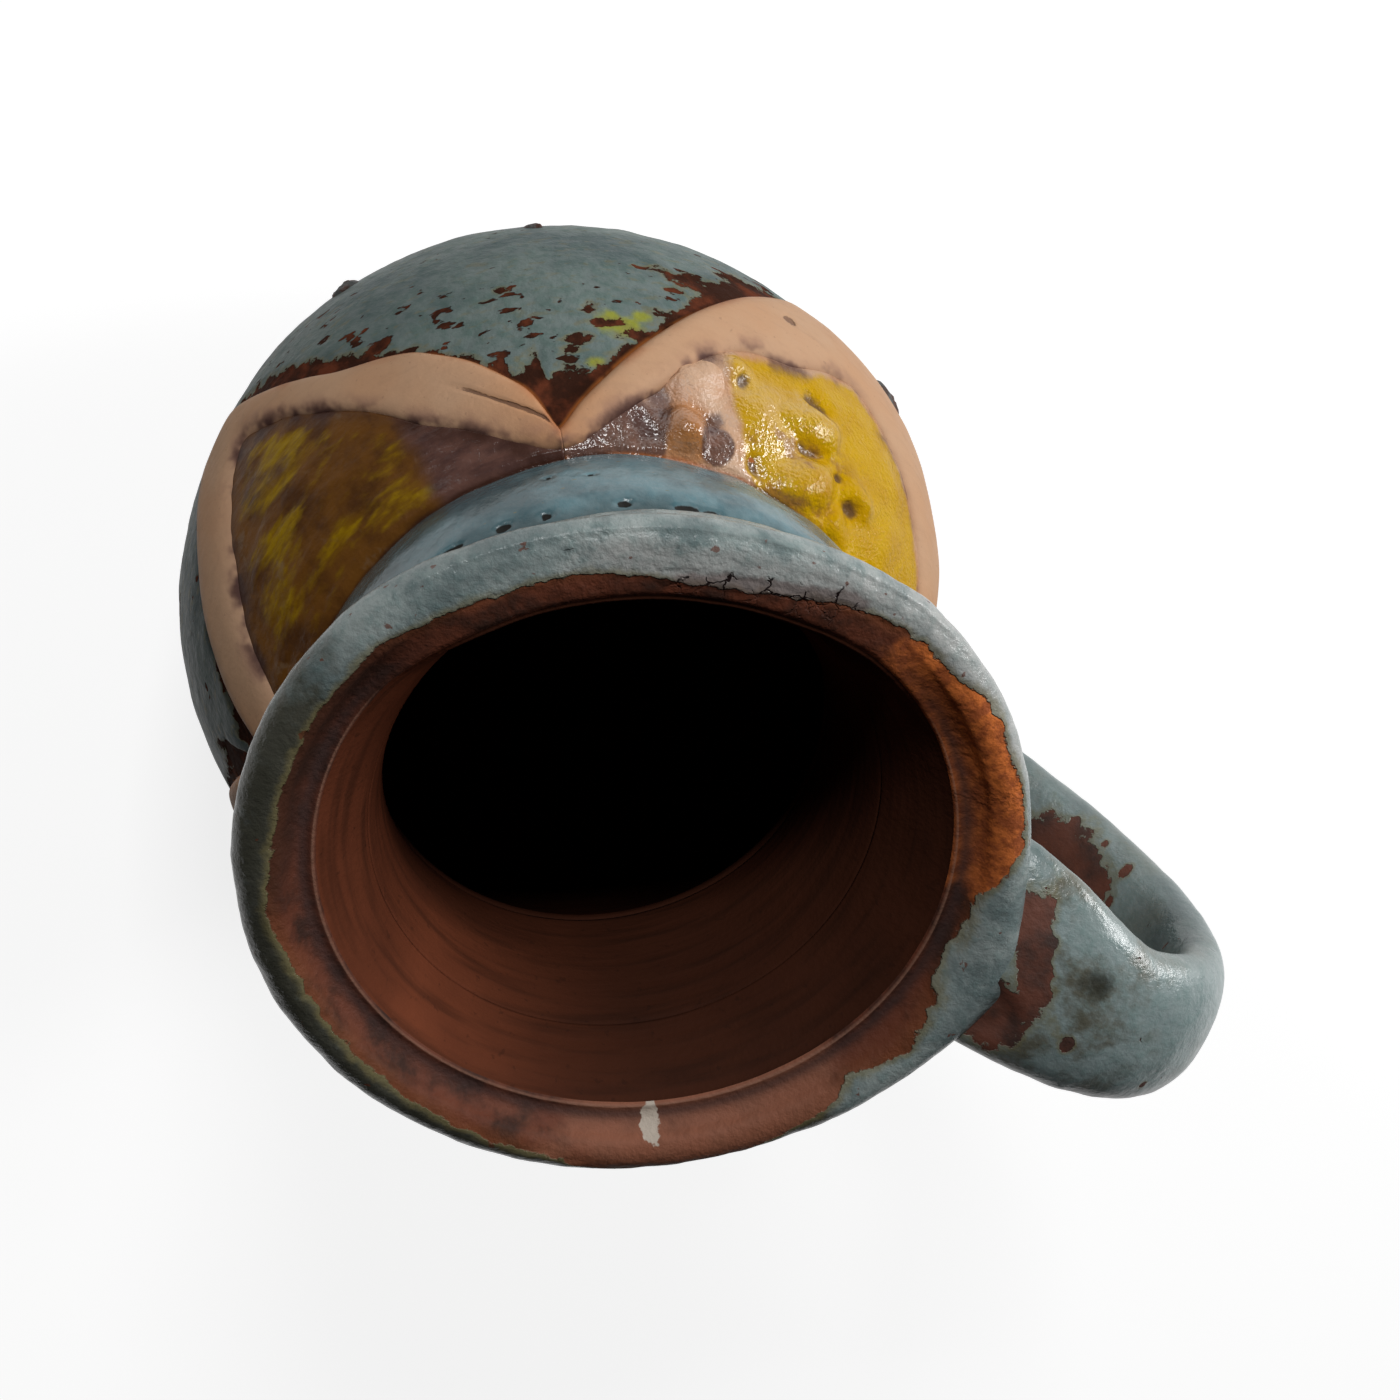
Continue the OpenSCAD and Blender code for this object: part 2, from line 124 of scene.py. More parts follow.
# Outline of the lip past its crest line, and under its round edge past the crease: out and up in
# millimetres
LIP_BEVEL = ((0.45, 0.75), (1.1, 0.6), (2.2, 0.85), (3.6, 2.0))
LIP_UNDERSIDE = ((4.2, 4.6), (1.5, 1.9), (0.2, 0.8), (-0.6, 0))
# Top of the lip where it is pressed level on its near side: radius and height in millimetres
LIP_LEVEL = ((40.2, 123.8), (40.8, 124.3), (41.8, 124.5), (43.5, 124.6), (45, 124.65), (46.5, 124.6),
             (48, 124.45), (49, 124.0))
# How far the lip is drawn out into a spur at the handle, or pressed in: angle and millimetres
LIP_PULLS = ((-180, 0), (-40, 0), (-22, 1.0), (-11, 2.3), (-3, 4.0), (0, 4.6), (3, 3.6), (8, 1.7),
             (14, 0.6), (22, 0), (70, 0), (88, -1.2), (104, -1.7), (126, -1.7), (144, -1.1), (164, 0),
             (180, 0))
# Pinholes in the collar under the lip: angle, height in millimetres, half length in degrees and
# depth in millimetres
COLLAR_PITS = ((137, 103.8, 2.0, 0.7), (115.5, 104.6, 1.8, 0.6), (104.2, 104.8, 3.2, 0.6),
               (99.6, 104.9, 2.2, 0.6), (129.3, 104.3, 1.2, 0.6), (147, 103.4, 3.6, 0.6),
               (127, 95.5, 0.8, 0.4), (120, 97, 0.7, 0.4), (205, 106, 1.6, 0.9), (252, 106.2, 2.2, 1.0),
               (300, 106.2, 1.5, 0.8))

# The strap: the height at which it lands on the belly, the power that squares its section, and
# how far its upper root spreads on one side
STRAP_FOOT_HEIGHT = 0.0556
STRAP_SQUARENESS = 0.9
STRAP_ROOT_SPREAD = 6.5 * MM

# Camera: tilt from the jug's axis, roll, heading and distance from the middle of the lip's plane
VIEW_TILT = 33.0
VIEW_ROLL = 18.0
VIEW_HEADING = 131.25
VIEW_DISTANCE = 0.3
LIP_PLANE_HEIGHT = 0.124
IMAGE_SIDE = 1400
FOCAL_PIXELS = 2360.29
LIP_CENTRE_PIXEL = (647, 865)
SENSOR_WIDTH = 36.0


class JugSizes(bpy.types.PropertyGroup):
    """Sizes of the jug that the meshes follow."""

    belly_r: FloatProperty(name="Belly radius", description="Radius of the widest ring of the belly",
                           default=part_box("body")[1].x, unit="LENGTH")
    belly_h: FloatProperty(name="Belly height", description="Height of the widest ring",
                           default=0.046, unit="LENGTH")
    belly_arc: FloatProperty(name="Belly arc", description="Radius of the arc of the belly's outline",
                             default=0.055, unit="LENGTH")
    seam_h: FloatProperty(name="Seam height", description="Height of the seam under the neck",
                          default=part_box("body")[1].z, unit="LENGTH")
    wall: FloatProperty(name="Wall", description="Thickness of the thrown wall",
                        default=0.0065, unit="LENGTH")
    floor: FloatProperty(name="Floor", description="Thickness of the floor", default=0.008, unit="LENGTH")
    throat_r: FloatProperty(name="Throat radius",
                            description="Radius of the narrowest ring inside the neck",
                            default=0.0315, unit="LENGTH")
    throat_h: FloatProperty(name="Throat height",
                            description="Height of the narrowest ring inside the neck",
                            default=0.095, unit="LENGTH")
    crease_r: FloatProperty(name="Crease radius", description="Radius of the crease under the lip",
                            default=0.041, unit="LENGTH")
    crease_h: FloatProperty(name="Crease height", description="Height of the crease under the lip",
                            default=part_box("neck")[1].z, unit="LENGTH")
    collar_swell: FloatProperty(name="Collar swell", description="How far the neck swells out",
                                default=0.0018, unit="LENGTH")
    lip_r: FloatProperty(name="Lip radius", description="Radius of the lip's edge",
                         default=0.05, unit="LENGTH")
    lip_h: FloatProperty(name="Lip height", description="Height of the lip's edge",
                         default=0.122, unit="LENGTH")
    lip_edge: FloatProperty(name="Lip edge", description="Radius of the lip's round edge",
                            default=0.0032, unit="LENGTH")
    lip_oval: FloatProperty(name="Lip oval", description="How far the lip is pulled towards the handle",
                            default=0.00185, unit="LENGTH")
    crest_r: FloatProperty(name="Crest radius", description="Radius of the crest line inside the lip",
                           default=0.0402, unit="LENGTH")
    crest_h: FloatProperty(name="Crest height", description="Height of the crest line inside the lip",
                           default=0.1208, unit="LENGTH")
    strap_w: FloatProperty(name="Strap width", description="Width of the handle half-way along",
                           default=0.022, unit="LENGTH")
    strap_t: FloatProperty(name="Strap thickness", description="Thickness of the handle",
                           default=0.0107, unit="LENGTH")
    strap_flare: FloatProperty(name="Strap flare", description="Extra width of the handle at its roots",
                               default=0.0024, unit="LENGTH")
    strap_lean: FloatProperty(name="Strap lean", description="Lean of the strap about its own centre line",
                              default=math.radians(-5.7), subtype="ANGLE")
    coil_r: FloatProperty(name="Coil radius", description="Radius of the coil round the handle's foot",
                          default=0.0019, unit="LENGTH")
    band_t: FloatProperty(name="Band thickness", description="Thickness of the zigzag band",
                          default=0.0018, unit="LENGTH")
    panel_t: FloatProperty(name="Panel thickness", description="Thickness of the glazed panels",
                           default=0.0008, unit="LENGTH")
    rounds: IntProperty(name="Rounds", description="Points round the jug", default=400, min=64)


class JugColours(bpy.types.PropertyGroup):
    """Colours of the glazes and the fired clay."""

    glaze_deep: FloatVectorProperty(name="Deep glaze", description="Blue-grey glaze where it is thick",
                                    default=(0.115, 0.150, 0.152), subtype="COLOR", min=0, max=1)
    glaze_pale: FloatVectorProperty(name="Pale glaze", description="Blue-green glaze where it is thin",
                                    default=(0.20, 0.245, 0.232), subtype="COLOR", min=0, max=1)
    collar_deep: FloatVectorProperty(name="Deep collar glaze", description="Blue glaze of the neck",
                                     default=(0.072, 0.132, 0.15), subtype="COLOR", min=0, max=1)
    collar_pale: FloatVectorProperty(name="Pale collar glaze", description="Pale blue glaze of the neck",
                                     default=(0.165, 0.27, 0.30), subtype="COLOR", min=0, max=1)
    frost: FloatVectorProperty(name="Frosted glaze", description="Grey-white glaze on top of the lip",
                               default=(0.45, 0.455, 0.44), subtype="COLOR", min=0, max=1)
    ochre: FloatVectorProperty(name="Thin glaze", description="Glaze that thins out to ochre at its edges",
                               default=(0.21, 0.175, 0.075), subtype="COLOR", min=0, max=1)
    moss: FloatVectorProperty(name="Moss stain", description="Yellow-green stains in the belly's glaze",
                              default=(0.33, 0.34, 0.03), subtype="COLOR", min=0, max=1)
    dark_clay: FloatVectorProperty(name="Dark clay", description="Bare clay burnt dark",
                                   default=(0.040, 0.015, 0.009), subtype="COLOR", min=0, max=1)
    red_clay: FloatVectorProperty(name="Red clay", description="Bare red-brown clay",
                                  default=(0.145, 0.040, 0.019), subtype="COLOR", min=0, max=1)
    scorched: FloatVectorProperty(name="Scorched clay", description="Orange clay at the edges of the glaze",
                                  default=(0.36, 0.115, 0.030), subtype="COLOR", min=0, max=1)
    inner_clay: FloatVectorProperty(name="Inner clay", description="Clay inside the jug",
                                    default=(0.22, 0.060, 0.027), subtype="COLOR", min=0, max=1)
    beige: FloatVectorProperty(name="Beige clay", description="Smooth clay of the band",
                               default=(0.60, 0.375, 0.235), subtype="COLOR", min=0, max=1)
    peach: FloatVectorProperty(name="Peach clay", description="Warmer clay of the band near its corners",
                               default=(0.58, 0.29, 0.145), subtype="COLOR", min=0, max=1)
    stain: FloatVectorProperty(name="Stain", description="Purple-brown stain in the corners of the relief",
                               default=(0.085, 0.042, 0.036), subtype="COLOR", min=0, max=1)
    yellow: FloatVectorProperty(name="Yellow glaze", description="Bright glossy yellow glaze",
                                default=(0.60, 0.345, 0.002), subtype="COLOR", min=0, max=1)
    amber: FloatVectorProperty(name="Amber glaze", description="Yellow glaze where it is thin over clay",
                               default=(0.42, 0.15, 0.025), subtype="COLOR", min=0, max=1)
    olive: FloatVectorProperty(name="Olive glaze", description="Brushed olive-yellow glaze",
                               default=(0.36, 0.215, 0.003), subtype="COLOR", min=0, max=1)
    brown_wash: FloatVectorProperty(name="Brown wash", description="Brown wash under the brushed glaze",
                                    default=(0.17, 0.068, 0.012), subtype="COLOR", min=0, max=1)
    mauve: FloatVectorProperty(name="Mauve wash",
                               description="Purple-grey glossy wash in the panel's corners",
                               default=(0.155, 0.075, 0.058), subtype="COLOR", min=0, max=1)


class ClayNoise:
    """Smooth seeded noise, about -1 to 1, over points in metres."""

    size = 32

    def __init__(self, seed):
        self.lattice = np.random.default_rng(seed).uniform(-1, 1, (self.size,) * 3)

    def __call__(self, points, grain):
        places = np.asarray(points) / grain
        cell = np.floor(places).astype(int)
        share = places - cell
        share = share * share * (3 - 2 * share)
        total = np.zeros(places.shape[:-1])
        for corner in np.ndindex(2, 2, 2):
            weight = np.prod(np.where(corner, share, 1 - share), axis=-1)
            i, j, k = np.moveaxis((cell + corner) % self.size, -1, 0)
            total += weight * self.lattice[i, j, k]
        return total

    def layered(self, points, grain, layers):
        """Noise with finer and weaker noise laid over it."""
        return sum(self(points, grain / 2 ** i) / 2 ** i for i in range(layers))


def smooth_step(value, low, high):
    """0 below low, 1 above high, and smooth between."""
    share = np.clip((value - low) / (high - low), 0, 1)
    return share * share * (3 - 2 * share)


def stretch(value, start, full, fade, stop):
    """1 between full and fade, 0 before start and after stop, and smooth between."""
    return smooth_step(value, start, full) * smooth_step(value, stop, fade)


def ring_points(radius, az, height):
    """Points about the axis, from radii, angles in degrees and heights."""
    turn = np.radians(az)
    return np.stack(np.broadcast_arrays(radius * np.cos(turn), radius * np.sin(turn), height), axis=-1)


def belly_off(sizes):
    """How far the centre of the belly's arc stands off the axis."""
    return sizes.belly_r - sizes.belly_arc


def belly_points(sizes, az, el, height):
    """Points above the belly's outside, from an angle about the axis and an angle on its arc."""
    rise = np.radians(el)
    reach = sizes.belly_arc + height
    return ring_points(belly_off(sizes) + reach * np.cos(rise), az, sizes.belly_h + reach * np.sin(rise))


def seam_angle(sizes):
    """Angle on the belly's arc at which the neck's seam lies."""
    return math.degrees(math.asin((sizes.seam_h - sizes.belly_h) / sizes.belly_arc))


def flare_radius(sizes, height):
    """Radius of the bell-shaped inner wall from the throat to the crest line."""
    out = sizes.crest_r - sizes.throat_r
    up = sizes.crest_h - sizes.throat_h
    bend = (out * out + up * up) / (2 * out)
    return sizes.throat_r + bend - np.sqrt(bend * bend - (height - sizes.throat_h) ** 2)


def round_the_axis(table, az):
    """Value of a table of angles and values that runs once round the axis."""
    angles, values = np.array(table, float).T
    return np.interp(np.mod(az, 360), angles, values)


def softened(values, reach):
    """A row of values with its corners rounded over a number of steps."""
    steps = np.arange(-3 * reach, 3 * reach + 1)
    weights = np.exp(-0.5 * (steps / reach) ** 2)
    padded = np.pad(values, 3 * reach, mode="edge")
    return np.convolve(padded, weights / weights.sum(), mode="valid")


def band_edges(tooth, az):
    """Angles on the belly of a tooth's belly-side edge and panel-side edge at angles about the axis."""
    belly_edge, panel_edge, start, stop = TEETH[tooth]
    steps = np.linspace(0, 1, 361)
    edges = []
    for edge in (belly_edge, panel_edge):
        angles, values = np.array(edge, float).T
        shares = (angles - angles[0]) / (angles[-1] - angles[0])
        row = softened(np.interp(steps, shares, values), 4)
        at_start = (values[0] - row[0]) * smooth_step(steps, 0.05, 0)
        at_stop = (values[-1] - row[-1]) * smooth_step(steps, 0.95, 1)
        row += at_start + at_stop
        edges.append(np.interp((az - start) / (stop - start), steps, row))
    return edges


def tooth_at(az):
    """Name of the tooth of the band at each angle about the axis, and the angle within its span."""
    turned = np.where(np.mod(az, 360) < TEETH["right"][2], np.mod(az, 360) + 360, np.mod(az, 360))
    names = np.full(np.shape(az), "right", dtype="<U5")
    for name, (_, _, start, stop) in TEETH.items():
        names[(turned >= start) & (turned <= stop)] = name
    return names, turned


def band_edges_round(az):
    """Both edges of the whole band at angles all round the axis."""
    names, turned = tooth_at(az)
    low = np.zeros(np.shape(az))
    high = np.zeros(np.shape(az))
    for name in TEETH:
        here = names == name
        low[here], high[here] = band_edges(name, turned[here])
    return low, high


def surface_distance(sizes, az, el, place_az, place_el, along, up):
    """Distance over the belly from a place, in shares of a reach along and a reach up."""
    turn = np.mod(az - place_az + 180, 360) - 180
    radius = belly_off(sizes) + sizes.belly_arc * np.cos(np.radians(el))
    return np.hypot(np.radians(turn) * radius / along, np.radians(el - place_el) * sizes.belly_arc / up)


def patch_field(sizes, az, el, patches):
    """1 in the middle of the nearest patch, 0 at its edge and below 0 outside."""
    field = np.full(np.broadcast(az, el).shape, -3.0)
    for place_az, place_el, along, up in patches:
        away = surface_distance(sizes, az, el, place_az, place_el, along * MM, up * MM)
        field = np.maximum(field, 1 - away)
    return field


def grid_faces(rows, sides, row_closed=False):
    """Four-sided faces of a stack of rings, with the last ring joined to the first or left open."""
    last_row = rows if row_closed else rows - 1
    i, k = np.meshgrid(np.arange(last_row), np.arange(sides), indexing="ij")
    i, k = i.ravel(), k.ravel()
    j, m = (i + 1) % rows, (k + 1) % sides
    return np.stack([i * sides + k, i * sides + m, j * sides + m, j * sides + k], axis=-1)


def fan_faces(first, sides, centre):
    """Triangles from a ring to a point that closes it."""
    return [(first + k, first + (k + 1) % sides, centre) for k in range(sides)]


def capped(rings, ends=None):
    """Points and faces of a stack of rings, closed at both ends by fans about a middle point."""
    rows, sides = rings.shape[:2]
    if ends is None:
        ends = np.array([rings[0].mean(axis=0), rings[-1].mean(axis=0)])
    count = rows * sides
    faces = [tuple(face) for face in grid_faces(rows, sides)]
    faces += [face[::-1] for face in fan_faces(0, sides, count)]
    faces += fan_faces(count - sides, sides, count + 1)
    return np.concatenate([rings.reshape(-1, 3), ends]), faces


def with_ends(values):
    """A field over a stack of rings, with a value for each of the two points that close it."""
    return np.concatenate([values.ravel(), [0, 0]])


def make_piece(name, points, faces, finishes, fields, finish_of_face=None):
    """A smooth closed mesh piece with its finishes and its fields of values."""
    points = np.asarray(points, float).reshape(-1, 3)
    faces = [tuple(int(v) for v in face) for face in faces]
    corners = [(face[0], face[i], face[i + 1]) for face in faces for i in range(1, len(face) - 1)]
    a, b, c = (points[list(corner)] for corner in zip(*corners))
    if np.einsum("ij,ij->", a, np.cross(b, c)) < 0:
        faces = [face[::-1] for face in faces]
    mesh = bpy.data.meshes.new(name)
    mesh.from_pydata(points.tolist(), [], faces)
    for finish in finishes:
        mesh.materials.append(finish)
    if finish_of_face is not None:
        mesh.polygons.foreach_set("material_index", np.asarray(finish_of_face, np.int32))
    for field, values in fields.items():
        attribute = mesh.attributes.new(field, "FLOAT", "POINT")
        attribute.data.foreach_set("value", np.asarray(values, np.float32).ravel())
    mesh.shade_smooth()
    mesh.validate()
    mesh.update()
    piece = bpy.data.objects.new(name, mesh)
    bpy.context.scene.collection.objects.link(piece)
    return piece


def seat_piece(piece, slot, *nodes):
    """Rides a finished piece on the jug in place of its plain solids."""
    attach(piece, "root")
    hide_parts(*nodes)


def feed(tree, socket, value):
    """Links an input socket to an output, or sets its value."""
    if isinstance(value, bpy.types.NodeSocket):
        tree.links.new(value, socket)
    elif socket.type == "RGBA":
        socket.default_value = (*value, 1.0)
    else:
        socket.default_value = value


def add_node(tree, kind, sockets=None, **settings):
    """A new node with its settings made and its input sockets fed, by name or number."""
    node = tree.nodes.new(kind)
    for key, value in settings.items():
        setattr(node, key, value)
    for key, value in (sockets or {}).items():
        feed(tree, node.inputs[key], value)
    return node


class Finish:
    """Builds the nodes of one material, from fields and noise to its shader."""

    def __init__(self, name):
        self.material = bpy.data.materials.new(name)
        self.material.use_nodes = True
        self.tree = self.material.node_tree
        self.tree.nodes.clear()
        self.place = self.add("ShaderNodeTexCoord").outputs["Object"]

    def add(self, kind, sockets=None, **settings):
        """A new node in the material's tree."""
        return add_node(self.tree, kind, sockets, **settings)

    def field(self, name):
        """One of the piece's fields of values."""
        return self.add("ShaderNodeAttribute", attribute_name=name).outputs["Fac"]

    def stretched(self, scale, turn=(0, 0, 0)):
        """Object coordinates scaled along each axis and turned."""
        sockets = {"Vector": self.place, "Scale": scale, "Rotation": turn}
        return self.add("ShaderNodeMapping", sockets).outputs[0]

    def warped(self, amount, grain):
        """Object coordinates pushed about by noise, for lines that wander."""
        cloud = self.add("ShaderNodeTexNoise", {"Vector": self.place, "Scale": 1 / grain, "Detail": 2.0})
        push = self.add("ShaderNodeVectorMath", {0: cloud.outputs["Color"], 1: (0.5, 0.5, 0.5)},
                        operation="SUBTRACT")
        scaled = self.add("ShaderNodeVectorMath", {0: push.outputs[0], "Scale": 2 * amount},
                          operation="SCALE")
        moved = self.add("ShaderNodeVectorMath", {0: self.place, 1: scaled.outputs[0]}, operation="ADD")
        return moved.outputs[0]

    def noise(self, grain, detail=3.0, roughness=0.55, place=None):
        """Noise from 0 to 1 whose lumps are about a grain across, in metres."""
        sockets = {"Vector": place or self.place, "Scale": 1 / grain, "Detail": detail,
                   "Roughness": roughness}
        return self.add("ShaderNodeTexNoise", sockets).outputs["Fac"]

    def cracks(self, grain, place):
        """Distance from the lines of a net whose meshes are about a grain across."""
        sockets = {"Vector": place, "Scale": 1 / grain}
        return self.add("ShaderNodeTexVoronoi", sockets, feature="DISTANCE_TO_EDGE").outputs["Distance"]

    def math(self, operation, a, b):
        return self.add("ShaderNodeMath", {0: a, 1: b}, operation=operation).outputs[0]

    def larger(self, a, b):
        """The larger of two values."""
        return self.math("MAXIMUM", a, b)

    def sum(self, *values):
        total = values[0]
        for value in values[1:]:
            total = self.math("ADD", total, value)
        return total

    def times(self, *values):
        product = values[0]
        for value in values[1:]:
            product = self.math("MULTIPLY", product, value)
        return product

    def swing(self, value, amount):
        """Noise from 0 to 1 turned into a swing of plus or minus an amount."""
        return self.math("MULTIPLY", self.math("SUBTRACT", value, 0.5), 2 * amount)

    def edge(self, value, low, high):
        """0 below low, 1 above high, and smooth between; turned round where low is above high."""
        sockets = {"Value": value, "From Min": min(low, high), "From Max": max(low, high)}
        if low > high:
            sockets.update({"To Min": 1.0, "To Max": 0.0})
        return self.add("ShaderNodeMapRange", sockets, interpolation_type="SMOOTHSTEP").outputs["Result"]

    def blend(self, share, a, b, mode="MIX"):
        """Colour a with a share of colour b mixed in."""
        sockets = {0: share, 6: a, 7: b}
        return self.add("ShaderNodeMix", sockets, data_type="RGBA", blend_type=mode).outputs[2]

    def between(self, share, a, b):
        """A value that goes from a to b with a share."""
        return self.sum(a, self.times(share, b - a))

    def done(self, colour, rough, height, depth, specular):
        """Closes the material with its shader, with the height as a bump of a depth in metres."""
        bump = self.add("ShaderNodeBump", {"Height": height, "Distance": depth, "Strength": 1.0})
        shader = self.add("ShaderNodeBsdfPrincipled", {
            "Base Color": colour, "Roughness": rough, "Normal": bump.outputs["Normal"],
            "Specular IOR Level": specular})
        self.add("ShaderNodeOutputMaterial", {"Surface": shader.outputs[0]})
        return self.material


def bare_clay(f, colours):
    """Colour of unglazed clay, from burnt dark to red-brown."""
    share = f.edge(f.noise(4.5 * MM, 4, 0.6), 0.42, 0.68)
    return f.blend(share, colours.dark_clay, colours.red_clay)


def glaze_specks(f, reach, low, high):
    """Small rust specks, longer round the jug than up it."""
    return f.edge(f.noise(reach, 3, 0.5, f.stretched((1, 1, 2.1))), low, high)


def belly_glaze(colours):
    """Blue-grey satin glaze with rust specks, broken to bare clay along the band and in patches."""
    f = Finish("belly_glaze")
    cloud = f.edge(f.noise(16 * MM, 4, 0.6), 0.36, 0.66)
    mottle = f.noise(2.2 * MM, 4, 0.65)
    glaze = f.blend(cloud, colours.glaze_deep, colours.glaze_pale)
    glaze = f.blend(f.times(f.field("pale"), 0.75), glaze, colours.glaze_pale)
    glaze = f.blend(f.edge(mottle, 0.35, 0.7), glaze, (0.30, 0.36, 0.34), "SOFT_LIGHT")
    # Painted shade: the glaze is darkened on the side away from the handle and the front
    glaze = f.blend(f.times(f.field("painted_side_shade"), 0.55), glaze, (0.03, 0.034, 0.03))
    moss = f.edge(f.sum(f.field("moss"), f.swing(f.noise(2.5 * MM), 0.6)), -0.15, 0.6)
    glaze = f.blend(f.times(moss, 0.85), glaze, colours.moss)
    ragged = f.sum(f.field("bare"), f.swing(f.noise(2.6 * MM, 5, 0.62, f.stretched((1, 1, 1.5))), 2.6))
    thin = f.edge(ragged, -1.1, 0.0)
    bare = f.edge(ragged, -0.10, 0.14)
    crowd = f.sum(f.swing(f.noise(30 * MM, 2), 0.05), f.times(f.field("crowd"), 0.10))
    specks = f.edge(f.sum(f.noise(4.2 * MM, 3, 0.5, f.stretched((1, 1, 2.1))), crowd), 0.66, 0.69)
    specks = f.larger(specks, glaze_specks(f, 2.2 * MM, 0.725, 0.75))
    faint = glaze_specks(f, 2.6 * MM, 0.55, 0.70)
    glaze = f.blend(f.times(faint, 0.35), glaze, colours.ochre)
    glaze = f.blend(f.times(thin, 0.45), glaze, colours.ochre)
    open_clay = f.larger(bare, specks)
    colour = f.blend(open_clay, glaze, bare_clay(f, colours))
    scorch = f.edge(f.field("band_gap"), 0.9, 0.1)
    scorch = f.times(scorch, f.edge(f.noise(5 * MM, 2), 0.38, 0.56))
    colour = f.blend(scorch, colour, colours.scorched)
    rough = f.sum(f.between(open_clay, 0.42, 0.78), f.swing(f.noise(1.2 * MM, 3), 0.1))
    height = f.sum(f.times(f.noise(1.3 * MM, 3), 0.4), f.times(mottle, 0.5), f.times(open_clay, -0.55))
    return f.done(colour, rough, height, 0.42 * MM, 0.035)


def collar_glaze(colours):
    """Blue glaze of the neck, thin and red-brown along the seam, with dark pinholes and painted shade in
    the crease, and painted shade away from the handle and the front.
    """
    f = Finish("collar_glaze")
    cloud = f.edge(f.noise(9 * MM, 4, 0.6), 0.36, 0.66)
    glaze = f.blend(cloud, colours.collar_deep, colours.collar_pale)
    mottle = f.noise(1.6 * MM, 4, 0.65)
    glaze = f.blend(f.edge(mottle, 0.4, 0.75), glaze, (0.33, 0.42, 0.44), "SOFT_LIGHT")
    specks = glaze_specks(f, 2.4 * MM, 0.70, 0.74)
    glaze = f.blend(f.times(specks, 0.7), glaze, colours.ochre)
    seam = f.sum(f.field("above_seam"), f.swing(f.noise(3 * MM, 4), 0.55))
    thin = f.edge(seam, 1.7, 0.4)
    glaze = f.blend(f.times(thin, 0.5), glaze, colours.ochre)
    bare = f.edge(seam, 0.72, 0.45)
    colour = f.blend(bare, glaze, f.blend(f.edge(seam, 0.0, 0.5), colours.dark_clay, colours.scorched))
    pit = f.edge(f.sum(f.field("pit"), f.swing(f.noise(1.2 * MM, 3), 0.25)), 0.35, 0.6)
    # Painted shade in the crease under the lip's edge
    crease_shade = f.edge(f.sum(f.field("under_crease"), f.swing(f.noise(6 * MM, 3), 1.8)), 7.2, 3.2)
    colour = f.blend(f.times(crease_shade, 0.8), colour, (0.035, 0.05, 0.05))
    # Painted shade on the side away from the handle and the front
    colour = f.blend(f.times(f.field("painted_side_shade"), 0.6), colour, (0.02, 0.028, 0.027))
    # Pinholes: dents where the clay shows, painted near black as shade in the holes
    colour = f.blend(pit, colour, (0.008, 0.007, 0.005))
    rough = f.sum(f.between(f.larger(bare, pit), 0.21, 0.75), f.swing(f.noise(1.5 * MM, 3), 0.1))
    height = f.sum(f.times(mottle, 0.6), f.times(f.noise(4 * MM, 3), 0.8), f.times(bare, -0.6))
    return f.done(colour, rough, height, 0.2 * MM, 0.35)


def inner_clay(colours):
    """Red-brown thrown clay inside the jug, with faint rings from the throwing and painted shade."""
    f = Finish("inner_clay")
    rings = f.noise(5 * MM, 3, 0.5, f.stretched((0.25, 0.25, 3)))
    cloud = f.noise(12 * MM, 4, 0.6)
    colour = f.blend(f.times(f.edge(cloud, 0.3, 0.7), 0.5), colours.inner_clay, colours.red_clay)
    colour = f.blend(f.times(f.edge(rings, 0.45, 0.75), 0.5), colour, colours.dark_clay)
    colour = f.blend(f.times(f.edge(f.noise(1.4 * MM, 3), 0.62, 0.72), 0.35), colour, colours.dark_clay)
    # Painted shade inside the jug, near black where the share is full
    colour = f.blend(f.times(f.field("painted_inner_shade"), 0.8), colour, (0.012, 0.006, 0.004))
    height = f.sum(f.times(rings, 0.8), f.times(f.noise(0.9 * MM, 3), 0.4))
    return f.done(colour, 0.72, height, 0.3 * MM, 0.05)


